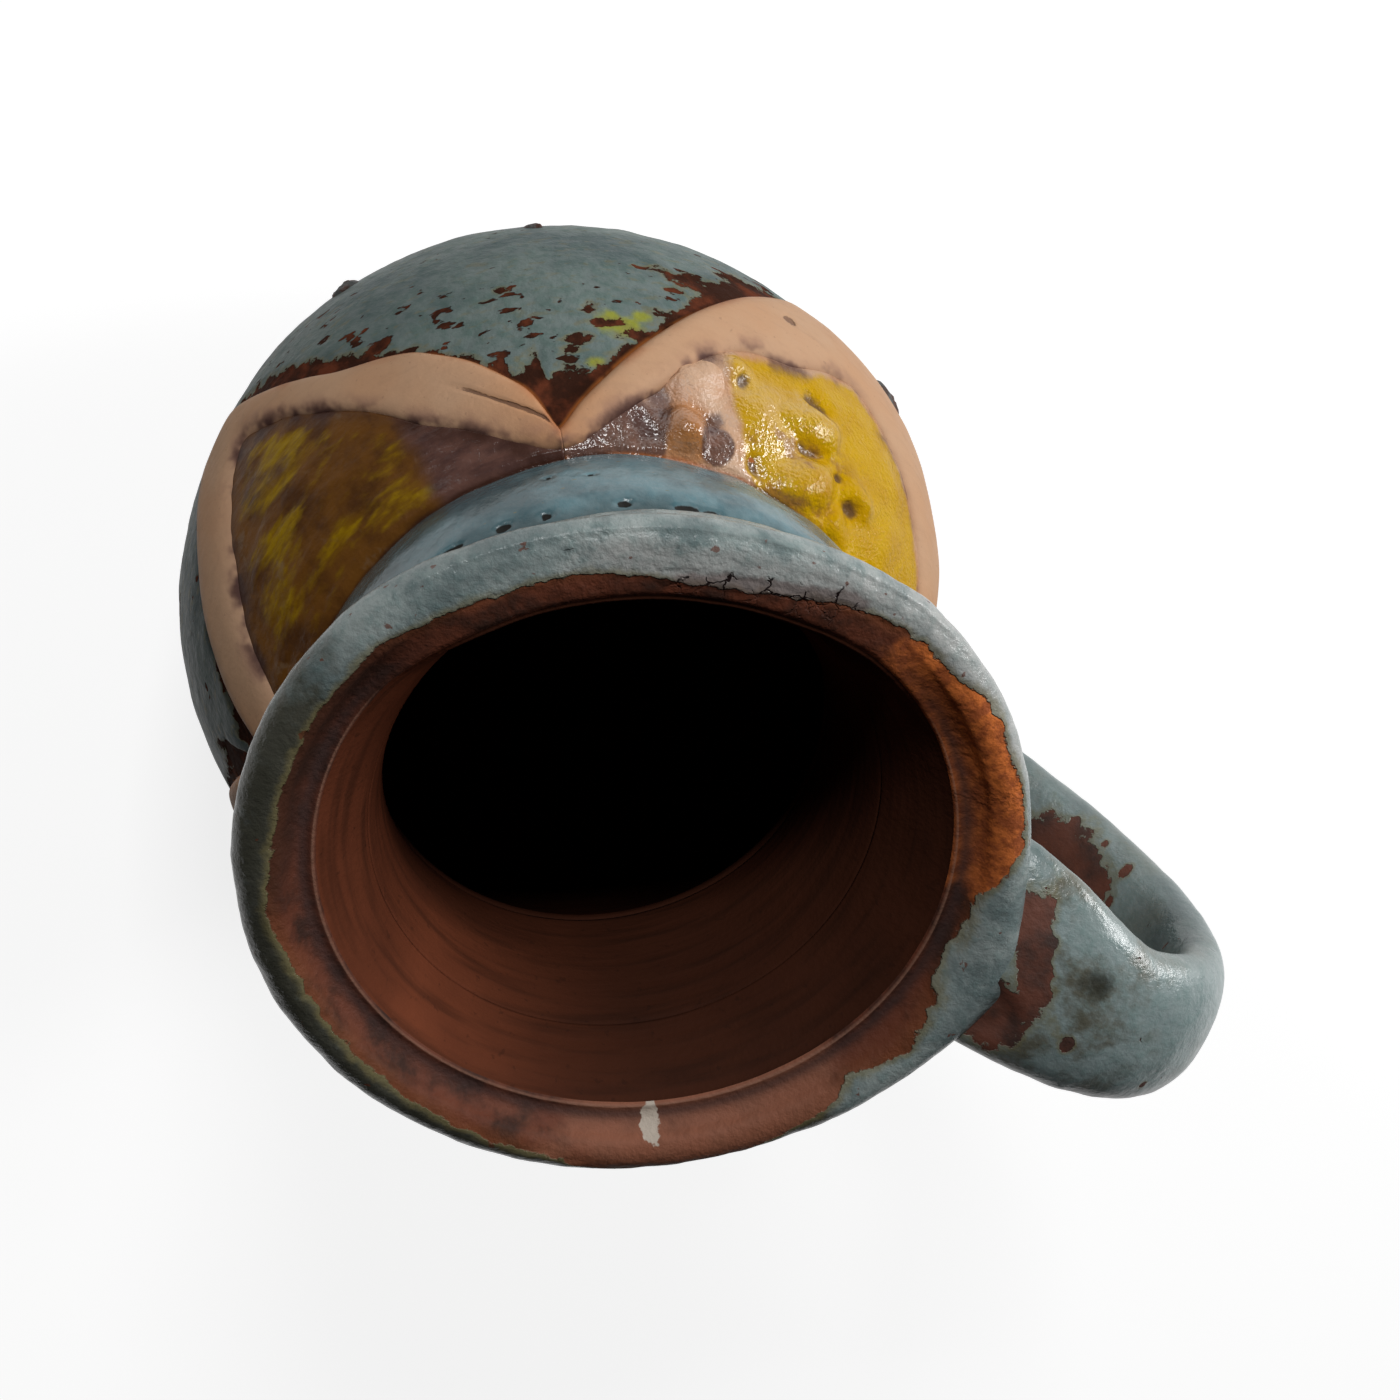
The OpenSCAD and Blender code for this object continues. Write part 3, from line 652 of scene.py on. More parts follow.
def lip_glaze(colours):
    """Blue and frosted glaze on the lip's edge, crackled in one place, over bare red-brown clay, with
    painted highlights on the far roll and along the crest line.
    """
    f = Finish("lip_glaze")
    cloud = f.edge(f.noise(7 * MM, 4, 0.6), 0.36, 0.66)
    glaze = f.blend(cloud, (0.18, 0.225, 0.225), (0.34, 0.39, 0.38))
    frost = f.sum(f.field("frost"), f.swing(f.noise(3.5 * MM, 4, 0.65), 0.7))
    glaze = f.blend(f.times(f.edge(frost, 0.25, 1.1), 0.9), glaze, colours.frost)
    mottle = f.noise(1.5 * MM, 4, 0.65)
    glaze = f.blend(f.edge(mottle, 0.4, 0.75), glaze, (0.33, 0.38, 0.38), "SOFT_LIGHT")
    olive = f.sum(f.field("olive"), f.swing(f.noise(4 * MM, 4, 0.6), 0.8))
    glaze = f.blend(f.times(f.edge(olive, 0.2, 0.9), 0.85), glaze, (0.072, 0.060, 0.034))
    glaze = f.blend(f.times(f.field("olive"), 0.4), glaze, (0.02, 0.022, 0.018))
    ragged = f.sum(f.field("glazed"), f.swing(f.noise(3.2 * MM, 5, 0.6), 1.5))
    thin = f.edge(ragged, 1.3, 0.1)
    glaze = f.blend(f.times(thin, 0.6), glaze, colours.ochre)
    glaze = f.blend(f.times(glaze_specks(f, 2.2 * MM, 0.68, 0.72), 0.75), glaze, colours.red_clay)
    crackle = f.edge(f.sum(f.field("crackle"), f.swing(f.noise(2.5 * MM, 3), 0.6)), 0.3, 0.8)
    glaze = f.blend(f.times(crackle, 0.7), glaze, (0.17, 0.115, 0.105))
    cracks = f.edge(f.cracks(3.6 * MM, f.warped(1.3 * MM, 1.6 * MM)), 0.05, 0.02)
    cracks = f.times(cracks, crackle, f.edge(f.noise(3 * MM, 2), 0.40, 0.50))
    glaze = f.blend(cracks, glaze, (0.02, 0.012, 0.012))
    clay = f.blend(f.edge(f.noise(6 * MM, 4, 0.6), 0.4, 0.68), colours.red_clay, colours.dark_clay)
    clay = f.blend(f.times(f.edge(ragged, -2.4, -0.2), f.field("roll"), 0.55), clay, (0.21, 0.066, 0.024))
    # Painted highlight on the far roll of the bare lip
    far_roll_highlight = f.sum(f.field("far_roll_highlight"), f.swing(f.noise(7 * MM, 4, 0.62), 0.8))
    clay = f.blend(f.times(f.edge(far_roll_highlight, 0.2, 1.0), 0.75), clay, (0.30, 0.115, 0.065))
    orange = f.sum(f.field("orange"), f.swing(f.noise(5 * MM, 4, 0.65), 0.7))
    burn = f.edge(f.noise(2.4 * MM, 4, 0.65), 0.38, 0.62)
    rust = f.blend(burn, (0.80, 0.215, 0.048), (0.40, 0.10, 0.028))
    orange = f.times(f.edge(orange, 0.35, 0.9), f.sum(0.55, f.times(f.field("roll"), 0.4)))
    clay = f.blend(orange, clay, rust)
    clay = f.blend(f.times(f.field("shade"), 0.75), clay, colours.dark_clay)
    clay = f.blend(f.times(f.field("gully"), 0.75), clay, (0.055, 0.03, 0.027))
    # Painted highlight along the crest line
    clay = f.blend(f.times(f.edge(f.field("crest"), 0.4, 0.9), 0.6), clay, (0.36, 0.19, 0.13))
    chip = f.edge(f.sum(f.field("chip"), f.swing(f.noise(1.6 * MM, 3), 0.7)), 0.15, 0.3)
    clay = f.blend(chip, clay, (0.50, 0.43, 0.36))
    bare = f.edge(ragged, 0.10, -0.14)
    colour = f.blend(bare, glaze, clay)
    rough = f.sum(f.between(bare, 0.24, 0.68), f.swing(f.noise(1.5 * MM, 3), 0.12))
    grit = f.noise(0.8 * MM, 3)
    wrinkles = f.times(f.noise(2.6 * MM, 3), f.edge(frost, 0.2, 0.7))
    height = f.sum(f.times(mottle, 0.8), f.times(grit, 0.35), wrinkles, f.times(bare, -0.8),
                   f.times(cracks, -0.8))
    return f.done(colour, rough, height, 0.3 * MM, 0.25)


def handle_glaze(colours):
    """Pale blue-grey glaze of the handle, with bare clay where it was touched and left to show, a painted
    sheen on its upper face and painted shade in the cavity under the lip.
    """
    f = Finish("handle_glaze")
    cloud = f.edge(f.noise(12 * MM, 4, 0.6), 0.34, 0.68)
    glaze = f.blend(cloud, colours.glaze_deep, colours.glaze_pale)
    # Paler glaze on the strap's upper face, as a painted sheen, and on part of its under face
    glaze = f.blend(f.times(f.field("pale"), 0.8), glaze, (0.30, 0.37, 0.37))
    mottle = f.noise(1.8 * MM, 4, 0.65)
    glaze = f.blend(f.edge(mottle, 0.35, 0.75), glaze, (0.33, 0.38, 0.37), "SOFT_LIGHT")
    by_root = f.sum(0.25, f.times(f.field("root"), 0.6))
    grime = f.times(f.edge(f.noise(9 * MM, 5, 0.65), 0.46, 0.66), by_root)
    glaze = f.blend(grime, glaze, (0.10, 0.085, 0.05))
    # A dark smudge on the strap, and painted shade in the cavity under the lip
    smudge = f.sum(f.field("smudge"), f.swing(f.noise(4 * MM, 4, 0.6), 1.0))
    glaze = f.blend(f.times(f.edge(smudge, 0.1, 1.0), 0.85), glaze, (0.03, 0.03, 0.022))
    ragged = f.sum(f.field("bare"), f.swing(f.noise(3.6 * MM, 5, 0.62), 2.4))
    pinholes = f.edge(f.noise(1.3 * MM, 2), 0.77, 0.79)
    specks = f.larger(glaze_specks(f, 2.6 * MM, 0.735, 0.755), pinholes)
    glaze = f.blend(f.times(f.edge(ragged, -1.3, 0.0), 0.55), glaze, colours.ochre)
    bare = f.edge(ragged, -0.10, 0.14)
    open_clay = f.larger(bare, specks)
    colour = f.blend(open_clay, glaze, f.blend(f.edge(f.noise(5 * MM, 4), 0.35, 0.7), colours.red_clay,
                                               colours.dark_clay))
    rough = f.sum(f.between(open_clay, 0.32, 0.74), f.swing(f.noise(1.5 * MM, 3), 0.12))
    height = f.sum(f.times(mottle, 0.7), f.times(f.noise(0.9 * MM, 3), 0.3), f.times(open_clay, -0.6))
    return f.done(colour, rough, height, 0.2 * MM, 0.75)


def band_clay(colours):
    """Smooth beige clay of the band, scorched along one edge and stained along the other."""
    f = Finish("band_clay")
    cloud = f.edge(f.noise(14 * MM, 3, 0.5), 0.35, 0.7)
    colour = f.blend(f.times(cloud, 0.35), colours.beige, colours.peach)
    colour = f.blend(f.times(f.field("corner"), 0.8), colour, colours.peach)
    brush = f.noise(2.5 * MM, 3, 0.5, f.stretched((0.6, 0.6, 2)))
    colour = f.blend(f.times(f.edge(brush, 0.45, 0.8), 0.25), colour, (0.44, 0.27, 0.17))
    grains = f.edge(f.noise(0.7 * MM, 2), 0.66, 0.76)
    colour = f.blend(f.times(grains, 0.3), colour, (0.25, 0.14, 0.09))
    wander = f.swing(f.noise(4 * MM, 4, 0.62), 0.9)
    licks = f.edge(f.noise(8 * MM, 3), 0.40, 0.62)
    blaze = f.times(f.edge(f.sum(f.field("from_belly"), wander), 2.6, 0.4), licks)
    colour = f.blend(f.times(blaze, 0.85), colour, (0.47, 0.175, 0.075))
    scorch = f.edge(f.sum(f.field("from_belly"), f.times(wander, 0.5)), 0.95, 0.15)
    colour = f.blend(f.times(scorch, 0.85), colour, colours.scorched)
    burnt = f.edge(f.sum(f.field("from_belly"), f.times(wander, 0.5)), 0.38, 0.05)
    colour = f.blend(burnt, colour, colours.dark_clay)
    edge_place = f.sum(f.field("from_panel"), wander)
    patchy = f.edge(f.noise(7 * MM, 3), 0.44, 0.60)
    blush = f.times(f.edge(edge_place, 3.8, 0.2), f.sum(0.10, f.times(patchy, 0.65)))
    colour = f.blend(blush, colour, (0.27, 0.145, 0.115))
    stain = f.times(f.edge(edge_place, 1.9, 0.2), f.sum(0.1, f.times(patchy, 0.85)))
    colour = f.blend(stain, colour, colours.stain)
    crease = f.edge(f.sum(f.field("crease"), f.swing(f.noise(1.6 * MM, 3), 0.5)), 0.45, 0.8)
    colour = f.blend(f.times(crease, 0.65), colour, colours.stain)
    rough = f.sum(0.5, f.swing(f.noise(2 * MM, 3), 0.1))
    height = f.sum(f.times(f.noise(0.8 * MM, 3), 0.3), f.times(brush, 0.5), f.times(crease, -0.8))
    return f.done(colour, rough, height, 0.22 * MM, 0.04)


def yellow_relief(colours):
    """Glossy yellow glaze pooled over a relief, thin and amber on the lumps, stained in the hollows."""
    f = Finish("yellow_relief")
    wander = f.swing(f.noise(4 * MM, 4, 0.62), 0.9)
    yellow = f.edge(f.sum(f.field("yellow"), f.times(wander, 1.6)), -0.6, 1.0)
    clay = f.blend(f.edge(f.noise(9 * MM, 4), 0.4, 0.65), colours.beige, colours.peach)
    amber = f.blend(f.edge(f.noise(6 * MM, 3), 0.4, 0.66), colours.amber, colours.peach)
    clay = f.blend(f.times(f.field("amber"), 0.85), clay, amber)
    pool = f.blend(f.edge(f.noise(5 * MM, 4, 0.6), 0.36, 0.72), colours.yellow, (0.54, 0.29, 0.003))
    thin = f.edge(f.sum(f.field("rise"), f.times(wander, 0.5)), 0.9, 1.7)
    pool = f.blend(f.times(thin, 0.45), pool, colours.amber)
    streak = f.edge(f.noise(6 * MM, 4, 0.62, f.stretched((1, 1, 1.4))), 0.48, 0.62)
    pool = f.blend(f.times(streak, f.field("worn"), 0.8), pool, (0.30, 0.13, 0.03))
    colour = f.blend(yellow, clay, pool)
    wash = f.edge(f.sum(f.field("wash"), f.times(wander, 0.5)), 0.25, 0.8)
    colour = f.blend(f.times(wash, 0.9), colour, f.blend(f.edge(f.noise(2.5 * MM, 4, 0.65), 0.35, 0.65),
                                                         colours.stain, colours.mauve))
    hollow = f.edge(f.sum(f.field("hollow"), f.times(wander, 0.7)), 0.35, 0.85)
    colour = f.blend(f.times(hollow, 0.85), colour, colours.stain)
    border = f.edge(f.sum(f.field("from_band"), f.times(wander, 2.2)), 3.4, 0.0)
    patchy = f.edge(f.noise(7 * MM, 3), 0.44, 0.62)
    soiled = f.blend(0.5, colours.stain, colours.mauve)
    colour = f.blend(f.times(border, f.sum(0.10, f.times(patchy, 0.75))), colour, soiled)
    neck = f.edge(f.sum(f.field("from_seam"), f.times(wander, 0.4)), 0.9, 0.3)
    colour = f.blend(f.times(neck, 0.9), colour, f.blend(patchy, colours.scorched, colours.dark_clay))
    gloss = f.edge(f.field("gloss"), 0.2, 0.8)
    rough = f.sum(f.between(gloss, 0.46, 0.17), f.swing(f.noise(1.1 * MM, 3), 0.04))
    pocks = f.noise(0.6 * MM, 2, 0.5)
    height = f.sum(pocks, f.times(f.noise(3 * MM, 3), 0.5), f.times(hollow, -0.5))
    return f.done(colour, rough, height, 0.22 * MM, f.sum(0.06, f.times(f.field("shine"), 0.84)))


def olive_brushed(colours):
    """Olive-yellow glaze brushed round the shoulder over a brown wash, with a mauve sheen in one corner."""
    f = Finish("olive_brushed")
    strokes = f.noise(7.5 * MM, 4, 0.6, f.stretched((0.55, 0.55, 1.6), (0.10, 0.05, 0)))
    hairs = f.noise(1.8 * MM, 3, 0.6, f.stretched((0.30, 0.30, 1.3), (0.10, 0.05, 0)))
    cover = f.sum(f.field("yellow"), f.swing(strokes, 2.0), f.swing(hairs, 0.30))
    wash = f.blend(f.edge(f.noise(7 * MM, 4, 0.6), 0.36, 0.7), colours.brown_wash, (0.075, 0.028, 0.008))
    glaze = f.blend(f.edge(hairs, 0.36, 0.66), (0.20, 0.095, 0.004), colours.olive)
    colour = f.blend(f.edge(cover, 0.10, 0.95), wash, glaze)
    grey = f.times(f.edge(f.noise(4.5 * MM, 4, 0.6), 0.60, 0.72), 0.35)
    colour = f.blend(grey, colour, (0.24, 0.17, 0.11))
    mauve = f.edge(f.sum(f.field("mauve"), f.swing(strokes, 0.5)), 0.25, 0.85)
    colour = f.blend(mauve, colour, f.blend(f.edge(hairs, 0.35, 0.7), colours.mauve, colours.stain))
    wander = f.swing(f.noise(4 * MM, 4, 0.62), 0.9)
    border = f.edge(f.sum(f.field("from_band"), f.times(wander, 2.2)), 3.4, 0.0)
    patchy = f.edge(f.noise(7 * MM, 3), 0.42, 0.60)
    colour = f.blend(f.times(border, f.sum(0.35, f.times(patchy, 0.6))), colour, (0.055, 0.024, 0.017))
    neck = f.edge(f.sum(f.field("from_seam"), f.times(wander, 0.5)), 1.0, 0.3)
    colour = f.blend(f.times(neck, 0.85), colour, colours.dark_clay)
    rough = f.sum(f.between(mauve, 0.42, 0.20), f.swing(strokes, 0.1))
    height = f.sum(f.times(strokes, 0.8), f.times(hairs, 0.4), f.times(f.noise(1.2 * MM, 3), 0.5))
    return f.done(colour, rough, height, 0.26 * MM, 0.1)


def nub_clay(colours):
    """Rough dark clay of the small nubs, with a little glaze caught on them."""
    f = Finish("nub_clay")
    rusty = f.times(f.edge(f.noise(1.3 * MM, 3), 0.45, 0.7), 0.5)
    colour = f.blend(rusty, colours.dark_clay, colours.red_clay)
    colour = f.blend(f.times(f.edge(f.noise(1.8 * MM, 3), 0.42, 0.6), 0.5), colour, colours.glaze_deep)
    grit = f.noise(0.6 * MM, 3)
    return f.done(colour, f.sum(0.55, f.swing(grit, 0.15)), grit, 0.3 * MM, 0.20)


def inner_shade_share(az):
    """Share of painted shade on the inner walls, which are darkest near the handle."""
    turn = np.abs(np.mod(az - 345 + 180, 360) - 180)
    return np.maximum(smooth_step(turn, 125, 45), 0.45 * smooth_step(turn, 88, 120))


def side_shade_share(az):
    """Share of painted shade on the glaze, which is darkest away from the handle and the front."""
    return stretch(az, 132, 180, 235, 290)


def turns(sizes):
    """Angles in degrees of the points round the jug."""
    return np.arange(sizes.rounds) * 360 / sizes.rounds


class JUG_OT_body(bpy.types.Operator):
    """Makes the thrown body: glazed outside, bare inside, with a flat base"""

    bl_idname = "jug.make_body"
    bl_label = "Body"
    bl_options = {"REGISTER", "UNDO"}

    outer_rows = 170
    inner_rows = 30
    # Rings of the base, of the ledge under the neck and of the inner floor, in shares of their width
    base_shares = (0.2, 0.45, 0.7, 0.9, 0.97)
    ledge_shares = (0.6, 0.0)
    floor_shares = (0.75, 0.45, 0.2)

    def execute(self, context):
        sizes = context.scene.jug_sizes
        az = turns(sizes)[None, :]
        noise = ClayNoise(11)
        foot_el = -math.degrees(math.asin(sizes.belly_h / sizes.belly_arc))
        el = np.linspace(foot_el, seam_angle(sizes), self.outer_rows)[:, None] + 0 * az
        az_grid = az + 0 * el
        low, _ = band_edges_round(az_grid)
        slope = np.gradient(low, axis=1) / (360 / sizes.rounds) * sizes.belly_arc / sizes.belly_r
        gap = np.radians(low - el) * sizes.belly_arc / MM / np.sqrt(1 + slope * slope)
        margin = round_the_axis(MARGIN_WIDTHS, az_grid)
        foot_gap = np.radians(el - foot_el) * sizes.belly_arc / MM
        bare = np.maximum(margin - gap, 1.5 * patch_field(sizes, az_grid, el, BARE_PATCHES))
        bare = np.clip(np.maximum(bare, 3.5 - foot_gap), -3, 3)
        moss = np.clip(patch_field(sizes, az_grid, el, MOSS_PATCHES), -1.5, 1)
        pale = smooth_step(1 - surface_distance(sizes, az_grid, el, 119, 22, 0.030, 0.019), 0, 0.8)
        crowd = stretch(az_grid, 62, 80, 150, 178) * smooth_step(gap, 22, 6) - 0.4
        # Painted shade on the side away from the handle and the front
        painted_side_shade = side_shade_share(az_grid)
        flat = belly_points(sizes, az_grid, el, 0.0)
        rise = 0.34 * MM * noise.layered(flat, 22 * MM, 2) + 0.13 * MM * noise.layered(flat, 4.5 * MM, 3)
        rise = rise - 0.28 * MM * smooth_step(bare + 0.9 * noise(flat, 2.6 * MM), -0.3, 0.3)
        rise = rise * smooth_step(foot_gap, 0, 4)
        outer = belly_points(sizes, az_grid, el, rise)
        outer[..., 2] = np.maximum(outer[..., 2], 0)
        foot_r = belly_off(sizes) + sizes.belly_arc * math.cos(math.radians(foot_el))
        base = [ring_points(foot_r * share, az[0], 0.0) for share in self.base_shares]
        mouth_r = float(flare_radius(sizes, sizes.seam_h))
        top = [ring_points(mouth_r + share * (sizes.crease_r - mouth_r), az[0], sizes.seam_h)
               for share in self.ledge_shares]
        inner_arc = sizes.belly_arc - sizes.wall
        top_el = math.degrees(math.acos((mouth_r - belly_off(sizes)) / inner_arc))
        low_el = -math.degrees(math.asin((sizes.belly_h - sizes.floor) / inner_arc))
        inner = [belly_points(sizes, az[0], inner_el, -sizes.wall)
                 for inner_el in np.linspace(top_el, low_el, self.inner_rows)]
        floor_r = belly_off(sizes) + inner_arc * math.cos(math.radians(low_el))
        floor = [ring_points(floor_r * share, az[0], sizes.floor) for share in self.floor_shares]
        rings = np.array([*base, *outer, *top, *inner, *floor])
        points, faces = capped(rings, np.array([[0, 0, 0], [0, 0, sizes.floor]]))
        before = len(base) * sizes.rounds
        inside_from = before + self.outer_rows * sizes.rounds
        after = len(points) - inside_from
        inside = [int(min(face) >= inside_from) for face in faces]

        def padded(values, ahead=0.0):
            return np.concatenate([np.full(before, ahead), values.ravel(), np.zeros(after)])

        # The whole inside of the body is given full painted shade
        fields = {"band_gap": padded(gap, 50), "bare": padded(bare, 3.0), "moss": padded(moss, -1.5),
                  "pale": padded(pale), "crowd": padded(crowd), "painted_side_shade": padded(painted_side_shade),
                  "painted_inner_shade": np.repeat([0.0, 1.0], [inside_from, after])}
        colours = context.scene.jug_colours
        piece = make_piece("body_glazed", points, faces, [belly_glaze(colours), inner_clay(colours)],
                           fields, inside)
        seat_piece(piece, "blue_glaze", "body")
        return {"FINISHED"}


class JUG_OT_neck(bpy.types.Operator):
    """Makes the neck: a swelling blue collar with a bare bell-shaped inside"""

    bl_idname = "jug.make_neck"
    bl_label = "Neck"
    bl_options = {"REGISTER", "UNDO"}

    outer_rows = 110
    inner_rows = 40
    # Heights between which painted shade sets in down the inner wall
    inner_shade_heights = (0.106, 0.095)

    def execute(self, context):
        sizes = context.scene.jug_sizes
        az = turns(sizes)[None, :]
        noise = ClayNoise(23)
        share = np.linspace(0, 1, self.outer_rows)[:, None] + 0 * az
        seam_r = belly_off(sizes) + sizes.belly_arc * math.cos(math.radians(seam_angle(sizes)))
        foot = sizes.seam_h + 0.5 * MM + 0.35 * MM * noise(ring_points(sizes.crease_r, az, 0.0), 9 * MM)
        height = foot + share * (sizes.crease_h - foot)
        swell = sizes.collar_swell * np.sin(np.pi * share ** 0.9)
        radius = seam_r + (sizes.crease_r - seam_r) * share + swell
        radius = radius - 0.6 * MM * (1 - np.sqrt(np.clip(share / 0.05, 0, 1)))
        under = (sizes.crease_h - height) / MM
        radius = radius - 1.3 * MM * smooth_step(under, 8.0, 2.5)
        pit = np.zeros(share.shape)
        for place, level, half, depth in COLLAR_PITS:
            turn = np.mod(az - place + 180, 360) - 180
            away = np.hypot(turn / half, (height / MM - level) / 0.75)
            here = smooth_step(1 - away, 0, 0.6)
            pit = np.maximum(pit, here)
            radius = radius - depth * MM * here
        flat = ring_points(radius, az, height)
        radius = radius + 0.22 * MM * noise.layered(flat, 14 * MM, 2)
        radius = radius + 0.10 * MM * noise.layered(flat, 4 * MM, 2)
        outer = ring_points(radius, az, height)
        down = np.linspace(sizes.crease_h, sizes.seam_h, self.inner_rows)[:, None]
        inner_r = flare_radius(sizes, down) + 0 * az
        wall = ring_points(inner_r, az, down + 0 * az)
        inner_r = inner_r + 0.12 * MM * noise.layered(wall, 16 * MM, 2)
        inner = ring_points(inner_r, az, down + 0 * az)
        rows = np.concatenate([outer, inner])
        faces = grid_faces(len(rows), sizes.rounds, row_closed=True)
        row_of_face = np.repeat(np.arange(len(rows)), sizes.rounds)
        inside = (row_of_face >= self.outer_rows - 1).astype(int)
        lift = np.concatenate([(height - height[:1]) / MM, np.full(inner_r.shape, 9.0)])
        pits = np.concatenate([pit, np.zeros(inner_r.shape)])
        under = np.concatenate([under, np.full(inner_r.shape, 9.0)])
        # Painted shade on the inner wall, deeper down the throat and towards the handle
        deep = np.concatenate([np.zeros(height.shape), smooth_step(down, *self.inner_shade_heights) + 0 * az])
        painted_inner_shade = np.maximum(np.tile(inner_shade_share(az), (len(rows), 1)), 0.85 * deep)
        colours = context.scene.jug_colours
        piece = make_piece("neck_collar", rows, faces, [collar_glaze(colours), inner_clay(colours)],
                           {"above_seam": lift, "under_crease": under, "pit": pits, "painted_inner_shade": painted_inner_shade,
                            "painted_side_shade": side_shade_share(az) + 0 * lift}, inside)
        seat_piece(piece, "collar_glaze", "neck")
        return {"FINISHED"}


def lip_outline(sizes, steps):
    """Closed outline of the lip, as radius and height, from the inner end of the crease upwards."""
    edge = sizes.lip_edge
    centre_r, centre_h = sizes.lip_r - edge, sizes.lip_h
    rise = np.linspace(sizes.crease_h, sizes.crest_h, 7)
    points = [(float(flare_radius(sizes, z)), z) for z in rise]
    points += [(sizes.crest_r + out * MM, sizes.crest_h + up * MM) for out, up in LIP_BEVEL]
    for turn in range(130, -71, -25):
        angle = math.radians(turn)
        points.append((centre_r + edge * math.cos(angle), centre_h + edge * math.sin(angle)))
    points += [(sizes.crease_r + out * MM, sizes.crease_h + up * MM) for out, up in LIP_UNDERSIDE]
    points = np.array(points)
    shares = np.concatenate([[0], np.cumsum(np.hypot(*np.diff(points, axis=0).T))])
    wanted = np.linspace(0, shares[-1], steps)
    return np.stack([smooth_curve(wanted, shares, points[:, i]) for i in (0, 1)], axis=-1)


def smooth_curve(wanted, places, values):
    """Smooth curve through points, with each point's slope taken from its two neighbours."""
    slopes = np.gradient(values, places)
    index = np.clip(np.searchsorted(places, wanted, side="right") - 1, 0, len(places) - 2)
    span = places[index + 1] - places[index]
    t = (wanted - places[index]) / span
    first = (1 + 2 * t) * (1 - t) ** 2 * values[index] + t * (1 - t) ** 2 * span * slopes[index]
    return first + t * t * (3 - 2 * t) * values[index + 1] + t * t * (t - 1) * span * slopes[index + 1]


def lip_pull(sizes, radius, height, az):
    """How far a point of the lip is pulled oval, and drawn out into the spur at the handle."""
    share = smooth_step(height, sizes.crease_h, sizes.lip_h)
    oval = sizes.lip_oval * share * radius / sizes.lip_r * np.cos(2 * np.radians(az))
    angles, reach = np.array(LIP_PULLS).T
    steps = np.linspace(-180, 180, 721)
    reach = softened(np.interp(steps, angles, reach), 3)
    turn = np.mod(az + 180, 360) - 180
    out = smooth_step(radius, sizes.crest_r + 3 * MM, sizes.lip_r - 1.5 * MM)
    low = smooth_step(height, sizes.crease_h + 3 * MM, sizes.lip_h - 1 * MM)
    reach = np.interp(turn, steps, reach) * MM
    return oval + np.where(reach > 0, reach * out, reach) * low


